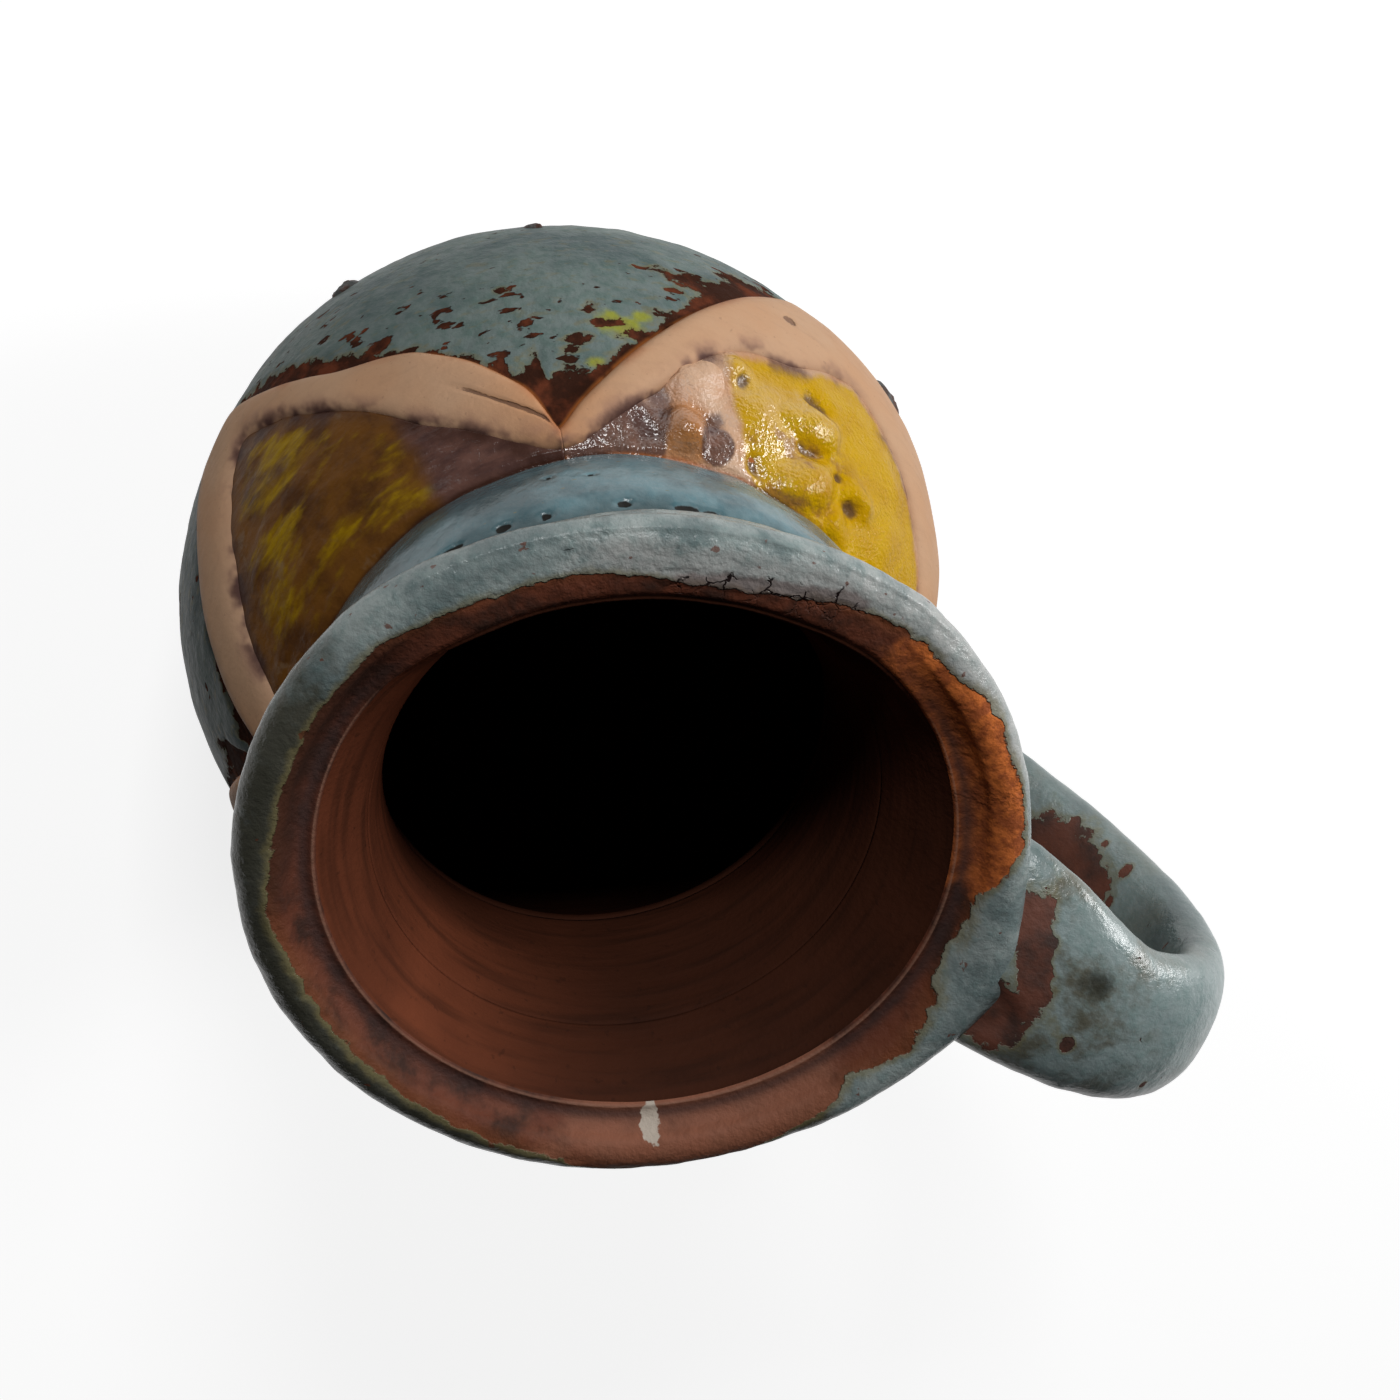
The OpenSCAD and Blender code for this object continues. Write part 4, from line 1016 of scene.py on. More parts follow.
class JUG_OT_lip(bpy.types.Operator):
    """Makes the flared lip: a rolled glazed edge round a bare bevel and a fine crest line"""

    bl_idname = "jug.make_lip"
    bl_label = "Lip"
    bl_options = {"REGISTER", "UNDO"}

    outline_steps = 110
    # Share of the outline that is seen from above, and the most steps that its inner wall takes
    top_share = 0.72
    inner_steps = 30

    def execute(self, context):
        sizes = context.scene.jug_sizes
        az = turns(sizes)[None, :]
        noise = ClayNoise(31)
        outline = lip_outline(sizes, self.outline_steps)
        radius = outline[:, :1] + 0 * az
        height = outline[:, 1:] + 0 * az
        az_grid = az + 0 * radius
        top = (np.arange(self.outline_steps) < self.top_share * self.outline_steps)[:, None]
        level = stretch(az_grid, 40, 72, 145, 178)
        places, heights = np.array(LIP_LEVEL).T
        wanted = smooth_curve(np.clip(radius / MM, places[0], places[-1]), places, heights) * MM
        lift = (wanted - height) * smooth_step(radius, 50 * MM, 48.8 * MM) * top
        rise = (heights[0] * MM - sizes.crest_h) * smooth_step(height, sizes.crease_h, sizes.crest_h)
        inner = (np.arange(self.outline_steps) < self.inner_steps)[:, None]
        lift = np.where((radius < sizes.crest_r) & inner, rise, lift)
        height = height + level * lift
        edge = round_the_axis(LIP_GLAZE_EDGE, az_grid)
        outside = smooth_step(radius, sizes.lip_r - 0.9 * MM, sizes.lip_r - 0.2 * MM)
        glazed = np.clip(np.where(top, radius / MM - edge, 4.0), -4, 4)
        glazed = np.maximum(glazed, 4 * outside - 1.2 * (1 - outside) - 2.0)
        pulled = radius + lip_pull(sizes, radius, height, az_grid)
        flat = ring_points(pulled, az_grid, height)
        weight = smooth_step(height, sizes.crease_h, sizes.crease_h + 2 * MM)
        coat = smooth_step(glazed + 0.8 * noise(flat, 3 * MM), -0.4, 0.4)
        lumps = 0.20 * MM * noise.layered(flat, 12 * MM, 2) + 0.12 * MM * noise.layered(flat, 3.5 * MM, 3)
        normal = np.stack([-np.gradient(outline[:, 1]), np.gradient(outline[:, 0])], axis=-1)
        normal = -normal / np.linalg.norm(normal, axis=-1, keepdims=True)
        push = weight * (lumps * (0.35 + 0.65 * coat) + 0.22 * MM * coat)
        pulled = pulled - push * normal[:, :1]
        height = height - push * normal[:, 1:]
        points = ring_points(pulled, az_grid, height)
        near_edge = smooth_step(radius / MM - edge, 8.5, 2.0) * top
        frost = stretch(az_grid, 58, 76, 116, 140) * near_edge
        frost = np.maximum(frost, stretch(az_grid, 26, 40, 66, 84) * top)
        orange = stretch(az_grid, 4, 18, 58, 80)
        crack_az = stretch(az_grid, 74, 82, 108, 116)
        crackle = crack_az * smooth_step(radius / MM - edge, 3.4, 0.8) * top
        olive = stretch(az_grid, 150, 185, 318, 338)
        # Painted highlight along the crest line, left off where the lip is pressed level
        crest = np.exp(-((radius - sizes.crest_r - 0.45 * MM) / (0.22 * MM)) ** 2) * top * (1 - level)
        gully = np.exp(-((radius - sizes.crest_r - 1.7 * MM) / (0.9 * MM)) ** 2) * top * (1 - level)
        # Painted highlight on the far roll of the bare lip
        far_roll_highlight = stretch(az_grid, 262, 290, 322, 344)
        from_chip = np.hypot((az_grid - 297) / 2.2, (radius / MM - 42.6) / 3.0)
        chip = np.clip(1.3 * (1 - from_chip), -1.5, 1) * top
        shade = stretch(az_grid, 150, 165, 198, 215)
        by_handle = 0.2 * smooth_step(az_grid, 40, 30) * (glazed < 0)
        shade = np.maximum(shade * smooth_step(glazed, -3.6, -2.2), by_handle)
        roll = smooth_step(radius, sizes.crest_r + 2.2 * MM, sizes.crest_r + 5 * MM)
        # Painted shade on the inner wall, towards the handle and all along where the lip is pressed level
        painted_inner_shade = np.maximum(inner_shade_share(az_grid), level)
        fields = {"glazed": glazed, "frost": frost, "crackle": crackle, "olive": olive,
                  "crest": crest, "gully": gully, "painted_inner_shade": painted_inner_shade, "chip": chip, "shade": shade, "roll": roll,
                  "orange": orange, "far_roll_highlight": far_roll_highlight}
        faces = grid_faces(self.outline_steps, sizes.rounds, row_closed=True)
        row_of_face = np.repeat(np.arange(self.outline_steps), sizes.rounds)
        middle = (outline[row_of_face, 0] < sizes.crest_r) & (row_of_face < self.outline_steps / 2)
        colours = context.scene.jug_colours
        piece = make_piece("flared_lip", points, faces, [lip_glaze(colours), inner_clay(colours)], fields,
                           middle.astype(int))
        seat_piece(piece, "lip_glaze", "lip")
        return {"FINISHED"}


def strap_curve(sizes, t):
    """Centre line of the strap and its direction, as radius and height."""
    # The line runs from a to d, and is steered by b and c
    foot_h = STRAP_FOOT_HEIGHT
    foot_r = belly_off(sizes) + math.sqrt(sizes.belly_arc ** 2 - (foot_h - sizes.belly_h) ** 2)
    a = np.array([sizes.crease_r, sizes.crease_h + 2 * MM])
    b = np.array([sizes.lip_r + 35 * MM, sizes.lip_h + 25.8 * MM])
    c = np.array([sizes.belly_r + 58 * MM, foot_h + 44.6 * MM])
    d = np.array([foot_r, foot_h])
    t = np.asarray(t)[..., None]
    centre = (1 - t) ** 3 * a + 3 * (1 - t) ** 2 * t * b + 3 * (1 - t) * t * t * c + t ** 3 * d
    heading = (1 - t) ** 2 * (b - a) + 2 * (1 - t) * t * (c - b) + t * t * (d - c)
    return centre, heading / np.linalg.norm(heading, axis=-1, keepdims=True)


def strap_points(sizes, t, turn, grow=0.0):
    """Points of the strap's surface, from shares of its length and angles round its section."""
    centre, heading = strap_curve(sizes, t)
    a = np.radians(turn)
    wide = (sizes.strap_w + sizes.strap_flare * (2 * t - 1) ** 2) / 2 + grow
    thick = sizes.strap_t / 2 + grow
    across = wide * np.sign(np.cos(a)) * np.abs(np.cos(a)) ** STRAP_SQUARENESS
    up = thick * np.sign(np.sin(a)) * np.abs(np.sin(a)) ** STRAP_SQUARENESS
    lean = sizes.strap_lean
    across = across + STRAP_ROOT_SPREAD * smooth_step(t, 0.30, 0.06) * np.clip(across / wide, 0, 1) ** 1.3
    y = across * np.cos(lean) - up * np.sin(lean)
    h = across * np.sin(lean) + up * np.cos(lean)
    x = centre[..., 0] - h * heading[..., 1]
    z = centre[..., 1] + h * heading[..., 0]
    return np.stack([x, y + 0 * h, z], axis=-1)


class JUG_OT_handle(bpy.types.Operator):
    """Makes the pulled strap handle that springs from under the lip and lands on the belly"""

    bl_idname = "jug.make_handle"
    bl_label = "Handle"
    bl_options = {"REGISTER", "UNDO"}

    rows = 230
    sides = 84
    # Bare spots: share of the strap's length, place across it and radius in millimetres
    spots = ((0.20, -2.8, 1.2), (0.145, 1.5, 1.3), (0.82, 9.2, 0.9), (0.775, 9.5, 0.9),
             (0.73, 8.6, 1.0), (0.735, 2.2, 1.4), (0.72, 3.6, 1.0), (0.33, -6, 0.9))

    def execute(self, context):
        sizes = context.scene.jug_sizes
        noise = ClayNoise(47)
        t = np.linspace(0.02, 1.0, self.rows)[:, None]
        turn = (np.arange(self.sides) * 360 / self.sides)[None, :]
        t_grid, turn_grid = t + 0 * turn, turn + 0 * t
        flat = strap_points(sizes, t_grid, turn_grid)
        y = flat[..., 1]
        upper = np.sin(np.radians(turn_grid))
        cavity = 1 - np.hypot((t_grid - 0.112) / 0.042, (y + 4.5 * MM) / (5.5 * MM))
        cavity = np.where(upper > 0, cavity, -1)
        grow = 0.28 * MM * noise.layered(flat, 18 * MM, 2) + 0.12 * MM * noise.layered(flat, 4 * MM, 3)
        grow = grow + 1.2 * MM * smooth_step(t_grid, 0.90, 1.0) - 1.3 * MM * smooth_step(cavity, 0, 0.6)
        points = strap_points(sizes, t_grid, turn_grid, grow)
        _, heading = strap_curve(sizes, t_grid)
        reach = 8 * MM * np.clip(-upper, 0, 1) * smooth_step(t_grid, 0.13, 0.02)
        points[..., 0] -= reach * heading[..., 0]
        points[..., 2] -= reach * heading[..., 1]
        inner_oval = 1 - np.hypot((t_grid - 0.80) / 0.07, (y - 2.0 * MM) / (7 * MM))
        bare = np.where(upper < 0, 3.4 * inner_oval, -3.0)
        root_line = 0.12 - (y / MM - 7.5) * 0.004
        root = np.minimum(1 - np.abs(t_grid - root_line) / 0.020, 1 - np.abs(y / MM - 7) / 6.5)
        bare = np.maximum(bare, np.where(upper > -0.2, 2.4 * root, -3))
        bare = np.maximum(bare, 3.2 * cavity)
        for spot_t, spot_y, size in self.spots:
            spot = 1 - np.hypot((t_grid - spot_t) * 150, y / MM - spot_y) / size
            side = upper < 0 if spot_t > 0.5 else upper > 0
            bare = np.maximum(bare, np.where(side, 2.4 * spot, -3))
        bare = np.clip(bare, -3, 3)
        smudge = np.clip(1.2 * (1 - np.hypot((t_grid - 0.195) / 0.028, (y - 6 * MM) / (3.6 * MM))), -1.5, 1)
        # The cavity under the lip is painted dark as shade, in the smudge's field
        smudge = np.maximum(smudge, np.clip(1.2 * cavity, -1.5, 1.2))
        # Painted sheen: the strap's upper face is paler; part of its under face further along is paler too
        pale = smooth_step(upper, -0.2, 0.8)
        pale = np.maximum(pale, 1.1 * smooth_step(t_grid, 0.60, 0.72) * smooth_step(-upper, 0.1, 0.6))
        near_root = smooth_step(t_grid, 0.36, 0.2) * (upper > 0)
        fields = {"bare": bare, "smudge": smudge, "pale": pale, "root": near_root}
        fields = {key: with_ends(values) for key, values in fields.items()}
        finish = handle_glaze(context.scene.jug_colours)
        piece = make_piece("strap_handle", *capped(points), [finish], fields)
        seat_piece(piece, "blue_glaze", "handle")
        return {"FINISHED"}


def node_tree(name, inputs):
    """A new Geometry Nodes tree with named inputs, and its input and output nodes."""
    tree = bpy.data.node_groups.new(name, "GeometryNodeTree")
    tree.interface.new_socket("Geometry", in_out="INPUT", socket_type="NodeSocketGeometry")
    tree.interface.new_socket("Geometry", in_out="OUTPUT", socket_type="NodeSocketGeometry")
    for label, kind in inputs:
        tree.interface.new_socket(label, in_out="INPUT", socket_type=kind)
    return tree, tree.nodes.new("NodeGroupInput"), tree.nodes.new("NodeGroupOutput")


def grown_piece(name, points, edges, tree, values, fields=None):
    """A plain mesh that a Geometry Nodes tree grows from points and edges."""
    seed_mesh = bpy.data.meshes.new(name + "_seed")
    seed_mesh.from_pydata(np.asarray(points).tolist(), edges, [])
    for field, (kind, numbers) in (fields or {}).items():
        attribute = seed_mesh.attributes.new(field, kind, "POINT")
        key = "vector" if kind == "FLOAT_VECTOR" else "value"
        attribute.data.foreach_set(key, np.asarray(numbers, np.float32).ravel())
    seed = bpy.data.objects.new(name + "_seed", seed_mesh)
    bpy.context.scene.collection.objects.link(seed)
    modifier = seed.modifiers.new("grow", "NODES")
    modifier.node_group = tree
    for item in tree.interface.items_tree:
        if item.in_out == "INPUT" and item.name in values:
            modifier[item.identifier] = values[item.name]
    graph = bpy.context.evaluated_depsgraph_get()
    mesh = bpy.data.meshes.new_from_object(seed.evaluated_get(graph))
    bpy.data.objects.remove(seed)
    mesh.name = name
    if not len(mesh.polygons):
        raise RuntimeError(f"{name} came out empty")
    mesh.shade_smooth()
    piece = bpy.data.objects.new(name, mesh)
    bpy.context.scene.collection.objects.link(piece)
    return piece


def lump_tree():
    """Tree that sets a flattened, uneven lump on each point, square to the wall under it."""
    tree, given, result = node_tree("wall_lumps", (
        ("Rise", "NodeSocketFloat"), ("Unevenness", "NodeSocketFloat"), ("Grain", "NodeSocketFloat"),
        ("Finish", "NodeSocketMaterial")))
    ball = add_node(tree, "GeometryNodeMeshIcoSphere", {"Subdivisions": 4})
    scale = add_node(tree, "ShaderNodeCombineXYZ", {"X": 1, "Y": 1, "Z": given.outputs["Rise"]})
    flat = add_node(tree, "GeometryNodeTransform", {
        "Geometry": ball.outputs["Mesh"], "Scale": scale.outputs[0]})
    wall = add_node(tree, "GeometryNodeInputNamedAttribute", {"Name": "wall"}, data_type="FLOAT_VECTOR")
    size = add_node(tree, "GeometryNodeInputNamedAttribute", {"Name": "size"}, data_type="FLOAT")
    turn = add_node(tree, "FunctionNodeAlignRotationToVector", {"Vector": wall.outputs["Attribute"]})
    place = add_node(tree, "GeometryNodeInstanceOnPoints", {
        "Points": given.outputs["Geometry"], "Instance": flat.outputs["Geometry"],
        "Rotation": turn.outputs[0], "Scale": size.outputs["Attribute"]})
    real = add_node(tree, "GeometryNodeRealizeInstances", {"Geometry": place.outputs["Instances"]})
    here = add_node(tree, "GeometryNodeInputPosition")
    grain = add_node(tree, "ShaderNodeMath", {0: 1.0, 1: given.outputs["Grain"]}, operation="DIVIDE")
    noise = add_node(tree, "ShaderNodeTexNoise", {
        "Vector": here.outputs[0], "W": 3.0, "Scale": grain.outputs[0]}, noise_dimensions="4D")
    centred = add_node(tree, "ShaderNodeVectorMath", {0: noise.outputs["Color"], 1: (0.5, 0.5, 0.5)},
                       operation="SUBTRACT")
    push = add_node(tree, "ShaderNodeVectorMath", {
        0: centred.outputs[0], "Scale": given.outputs["Unevenness"]}, operation="SCALE")
    move = add_node(tree, "GeometryNodeSetPosition", {
        "Geometry": real.outputs[0], "Offset": push.outputs[0]})
    finish = add_node(tree, "GeometryNodeSetMaterial", {
        "Geometry": move.outputs[0], "Material": given.outputs["Finish"]})
    feed(tree, result.inputs["Geometry"], finish.outputs[0])
    return tree


def coil_tree():
    """Tree that rolls a coil of clay along a closed path."""
    tree, given, result = node_tree("clay_coil", (
        ("Radius", "NodeSocketFloat"), ("Finish", "NodeSocketMaterial")))
    path = add_node(tree, "GeometryNodeMeshToCurve", {"Mesh": given.outputs["Geometry"]})
    even = add_node(tree, "GeometryNodeResampleCurve", {"Curve": path.outputs[0], "Count": 120})
    section = add_node(tree, "GeometryNodeCurvePrimitiveCircle", {
        "Resolution": 20, "Radius": given.outputs["Radius"]})
    sweep = add_node(tree, "GeometryNodeCurveToMesh", {
        "Curve": even.outputs[0], "Profile Curve": section.outputs[0]})
    real = add_node(tree, "GeometryNodeRealizeInstances", {"Geometry": sweep.outputs[0]})
    finish = add_node(tree, "GeometryNodeSetMaterial", {
        "Geometry": real.outputs[0], "Material": given.outputs["Finish"]})
    feed(tree, result.inputs["Geometry"], finish.outputs[0])
    return tree


class JUG_OT_foot_coil(bpy.types.Operator):
    """Rolls the coil of clay that is pressed round the handle's foot"""

    bl_idname = "jug.make_foot_coil"
    bl_label = "Foot coil"
    bl_options = {"REGISTER", "UNDO"}

    sides = 72
    # Share of the strap's length at which the coil lies, and how far it stands off strap and belly
    along = 0.985
    off_strap = 1.6 * MM
    off_belly = 0.5 * MM
    # Values of the handle's fields on the coil
    values = {"bare": -3.0, "smudge": -1.5, "pale": 0.2, "root": 0.0}

    def execute(self, context):
        sizes = context.scene.jug_sizes
        turn = np.arange(self.sides) * 360 / self.sides
        ring = strap_points(sizes, np.full(self.sides, self.along), turn, self.off_strap)
        above = ring[:, 2] - sizes.belly_h
        radius = belly_off(sizes) + np.sqrt(sizes.belly_arc ** 2 - above ** 2) + self.off_belly
        ring[:, 0] = np.sqrt(radius ** 2 - ring[:, 1] ** 2)
        edges = [(k, (k + 1) % self.sides) for k in range(self.sides)]
        settings = {"Radius": sizes.coil_r, "Finish": handle_glaze(context.scene.jug_colours)}
        piece = grown_piece("handle_foot_roll", ring, edges, coil_tree(), settings)
        count = len(piece.data.vertices)
        for field, value in self.values.items():
            attribute = piece.data.attributes.new(field, "FLOAT", "POINT")
            attribute.data.foreach_set("value", np.full(count, value, np.float32))
        seat_piece(piece, "blue_glaze", "handle_foot_coil")
        return {"FINISHED"}


class JUG_OT_bands(bpy.types.Operator):
    """Lays the four teeth of the zigzag band on the shoulder"""

    bl_idname = "jug.make_bands"
    bl_label = "Zigzag band"
    bl_options = {"REGISTER", "UNDO"}

    rows = 300
    top_sides = 30
    under_sides = 8
    # Mean radius of the shoulder under the band
    shoulder_r = 0.052

    def strip(self, sizes, tooth, start, stop, noise):
        """Points and fields of one stretch of the band between two angles about the axis."""
        count = max(12, int(self.rows * (stop - start) / 90))
        az = np.linspace(start, stop, count)[:, None]
        low, high = band_edges(tooth, az)
        top = np.linspace(-1, 1, self.top_sides)
        under = np.linspace(1, -1, self.under_sides + 2)[1:-1]
        share = np.concatenate([top, under])[None, :]
        is_top = np.concatenate([np.ones(self.top_sides), np.zeros(self.under_sides)])[None, :]
        wave = 0.35 * noise(belly_points(sizes, az, low, 0.0), 7 * MM)
        middle, half = (low + high) / 2, (high - low) / 2
        el = middle + share * (half + wave * np.abs(share))
        roundness = np.clip(1 - np.abs(share) ** 3.4, 0, 1) ** 0.6
        flat = belly_points(sizes, az + 0 * el, el, 0.0)
        press = 0.16 * MM * noise.layered(flat, 16 * MM, 2) + 0.05 * MM * noise.layered(flat, 4 * MM, 2)
        raised = 0.15 * MM + sizes.band_t * roundness + press * roundness
        height = is_top * raised - 0.3 * MM * (1 - is_top)
        points = belly_points(sizes, az + 0 * el, el, height)
        slope = np.gradient(middle[:, 0], az[:, 0])[:, None] * sizes.belly_arc / self.shoulder_r
        tilt = 1 / np.sqrt(1 + slope * slope)
        from_belly = np.radians(el - low) * sizes.belly_arc / MM * tilt
        from_panel = np.radians(high - el) * sizes.belly_arc / MM * tilt
        if tooth in ("right", "left"):
            from_panel = from_panel + 2.5 * smooth_step(az - start, 50, 34)
        corner = np.exp(-((az - TEETH[tooth][2]) / 9) ** 2) + np.exp(-((az - TEETH[tooth][3]) / 9) ** 2)
        crease = np.zeros(el.shape)
        if tooth == "front":
            line = np.interp(az, *np.array(FRONT_CREASE).T)
            reach = stretch(az, 123, 125, 134, 140)
            away = np.abs(el - line) * np.radians(1) * sizes.belly_arc / MM
            crease = reach * smooth_step(0.6 - away, 0, 0.5)
        if tooth == "right":
            crease = smooth_step(1 - surface_distance(sizes, az, el, 83, 13.6, 1.5 * MM, 1.2 * MM), 0, 0.5)
        sunk = crease * is_top * 0.35 * MM
        points = points - sunk[..., None] * points / np.linalg.norm(points, axis=-1, keepdims=True)
        fields = {"from_belly": from_belly + 9 * (1 - is_top), "from_panel": from_panel + 9 * (1 - is_top),
                  "corner": corner + 0 * el, "crease": crease * is_top}
        return points, fields

    def execute(self, context):
        sizes = context.scene.jug_sizes
        finish = band_clay(context.scene.jug_colours)
        noise = ClayNoise(60)
        for tooth, (_, _, start, stop) in TEETH.items():
            spans = [(start, stop)]
            if stop > FOOT_SPAN[0]:
                spans = [(start, FOOT_SPAN[0]), (FOOT_SPAN[1], stop)]
            points, faces, fields = [], [], {}
            for span in spans:
                grid, values = self.strip(sizes, tooth, *span, noise)
                first = sum(len(laid) for laid in points)
                strip_points, strip_faces = capped(grid)
                points.append(strip_points)
                faces += [tuple(first + corner for corner in face) for face in strip_faces]
                for key, value in values.items():
                    fields.setdefault(key, []).append(with_ends(value))
            fields = {key: np.concatenate(value) for key, value in fields.items()}
            piece = make_piece("zigzag_band_" + tooth, np.concatenate(points), faces, [finish], fields)
            seat_piece(piece, "beige_clay", "band_" + tooth)
        return {"FINISHED"}


def relief_fields(local, el, from_band):
    """Where the relief is yellow, amber and glossy, at angles counted as on the right-hand panel."""
    edge = np.interp(el, *np.array(YELLOW_EDGE).T)
    yellow = np.minimum(np.radians(edge - local) * 48, (from_band - 0.6) * 0.8)
    away = np.hypot((local - 99.5) * 0.72, el - 42.4) / 6.0
    amber = smooth_step(1 - away, 0, 0.45)
    wash = smooth_step(local, 101.5, 105) * smooth_step(el, 37, 41)
    wash = np.maximum(wash, smooth_step(1 - np.hypot((local - 94.2) * 0.2, (el - 43.4) / 4), 0, 0.5))
    gloss = np.clip(np.maximum(smooth_step(yellow, -2, 0.5), np.maximum(0.8 * amber, wash)), 0, 1)
    worn = stretch(local, 62, 72, 86, 94) * smooth_step(el, 30, 37)
    shine = smooth_step(local, 71, 80) * smooth_step(el, 26, 34)
    return {"yellow": np.clip(yellow, -4, 4), "amber": amber, "wash": wash, "gloss": gloss, "worn": worn,
            "shine": shine}


def relief(sizes, az, el):
    """Rise and hollow of the right-hand relief, in millimetres and shares."""
    flat = belly_points(sizes, az, el, 0.0)
    wobble = ClayNoise(5)
    az = az + 2.6 * wobble.layered(flat, 7 * MM, 2)
    el = el + 2.2 * wobble.layered(flat[..., ::-1], 7 * MM, 2)
    rise = np.zeros(az.shape)
    for place_az, place_el, reach, lift in RELIEF_LUMPS:
        away = surface_distance(sizes, az, el, place_az, place_el, reach * MM, reach * MM)
        rise = rise + lift * np.clip(1 - away ** 2, 0, 1) ** 1.6
    hollow = np.zeros(az.shape)
    for place_az, place_el, reach, depth in RELIEF_PITS:
        away = surface_distance(sizes, az, el, place_az, place_el, reach * MM, reach * MM)
        dip = np.exp(-away ** 2)
        hollow = np.maximum(hollow, dip)
        rise = rise - depth * dip
    return rise, hollow


def panel_top(sizes):
    """Angle on the belly at which the panels end, just under the neck's edge."""
    return seam_angle(sizes) + 0.6


def seam_taper(from_seam):
    """Share of a panel's thickness that is left as it nears the neck."""
    return 0.25 + 0.75 * smooth_step(from_seam, 0.2, 1.6)


class JUG_OT_panels(bpy.types.Operator):
    """Fills the four panels between the band and the neck with glaze over relief or brushwork"""

    bl_idname = "jug.make_panels"
    bl_label = "Panels"
    bl_options = {"REGISTER", "UNDO"}

    rows = 220
    sides = 84
    # Angle on the belly at which the panel starts over the strap's foot
    foot_top = 24

    def execute(self, context):
        sizes = context.scene.jug_sizes
        colours = context.scene.jug_colours
        relief_finish = yellow_relief(colours)
        brushed_finish = olive_brushed(colours)
        for seed, (tooth, (_, _, start, stop)) in enumerate(TEETH.items()):
            noise = ClayNoise(80 + seed)
            az = np.linspace(start, stop, self.rows)[:, None]
            _, high = band_edges(tooth, az)
            top_el = panel_top(sizes)
            if stop > FOOT_SPAN[0]:
                foot_start, foot_stop = FOOT_SPAN
                in_foot = stretch(az, foot_start - 2, foot_start, foot_stop, foot_stop + 2)
                high = high + in_foot * np.maximum(0, self.foot_top - high)
            share = np.linspace(0, 1, self.sides)[None, :]
            low_el = np.minimum(high - 1.6, top_el - 0.5)
            el = low_el + share * (top_el - low_el)
            az_grid = az + 0 * el
            flat = belly_points(sizes, az_grid, el, 0.0)
            from_band = np.radians(el - high) * sizes.belly_arc / MM
            from_seam = np.radians(top_el - el) * sizes.belly_arc / MM
            shelf = smooth_step(from_band, -1.6, -0.2) * seam_taper(from_seam)
            fields = {"from_band": from_band, "from_seam": from_seam}
            relieved = tooth in ("right", "left")
            first, last = TEETH["right" if relieved else "front"][2:]
            local = first + (az_grid - start) / (stop - start) * (last - first)
            if relieved:
                rise, hollow = relief(sizes, local, el)
                rise = rise * smooth_step(from_seam, 0.2, 2.5)
                rough = 0.16 * noise.layered(flat, 5 * MM, 3)
                fields.update({"rise": rise, "hollow": hollow, **relief_fields(local, el, from_band)})
            else:
                strokes = noise.layered(flat * np.array([0.35, 0.35, 1.6]), 3.2 * MM, 3)
                rise = 0.16 * strokes
                rough = 0.08 * noise.layered(flat, 4 * MM, 3)
                middle = stretch(local, 143, 152, 182, 192)
                away = smooth_step(from_band, 1.0, 4.5) * smooth_step(from_seam, 0, 3)
                yellow = 0.75 * middle * away - 0.35
                mauve = smooth_step(local, 152, 142)
                fields.update({"yellow": yellow, "mauve": mauve})
            height = shelf * (sizes.panel_t + (rise + rough) * MM)
            points = belly_points(sizes, az_grid, el, np.maximum(height, 0.05 * MM))
            under = belly_points(sizes, az_grid, el, -0.4 * MM)[:, ::-1]
            fields = {key: with_ends(np.concatenate([value, value[:, ::-1]], axis=1))
                      for key, value in fields.items()}
            finish = relief_finish if relieved else brushed_finish
            slot = "yellow_glaze" if relieved else "olive_glaze"
            rings = np.concatenate([points, under], axis=1)
            piece = make_piece("glaze_panel_" + tooth, *capped(rings), [finish], fields)
            seat_piece(piece, slot, "panel_" + tooth)
        return {"FINISHED"}


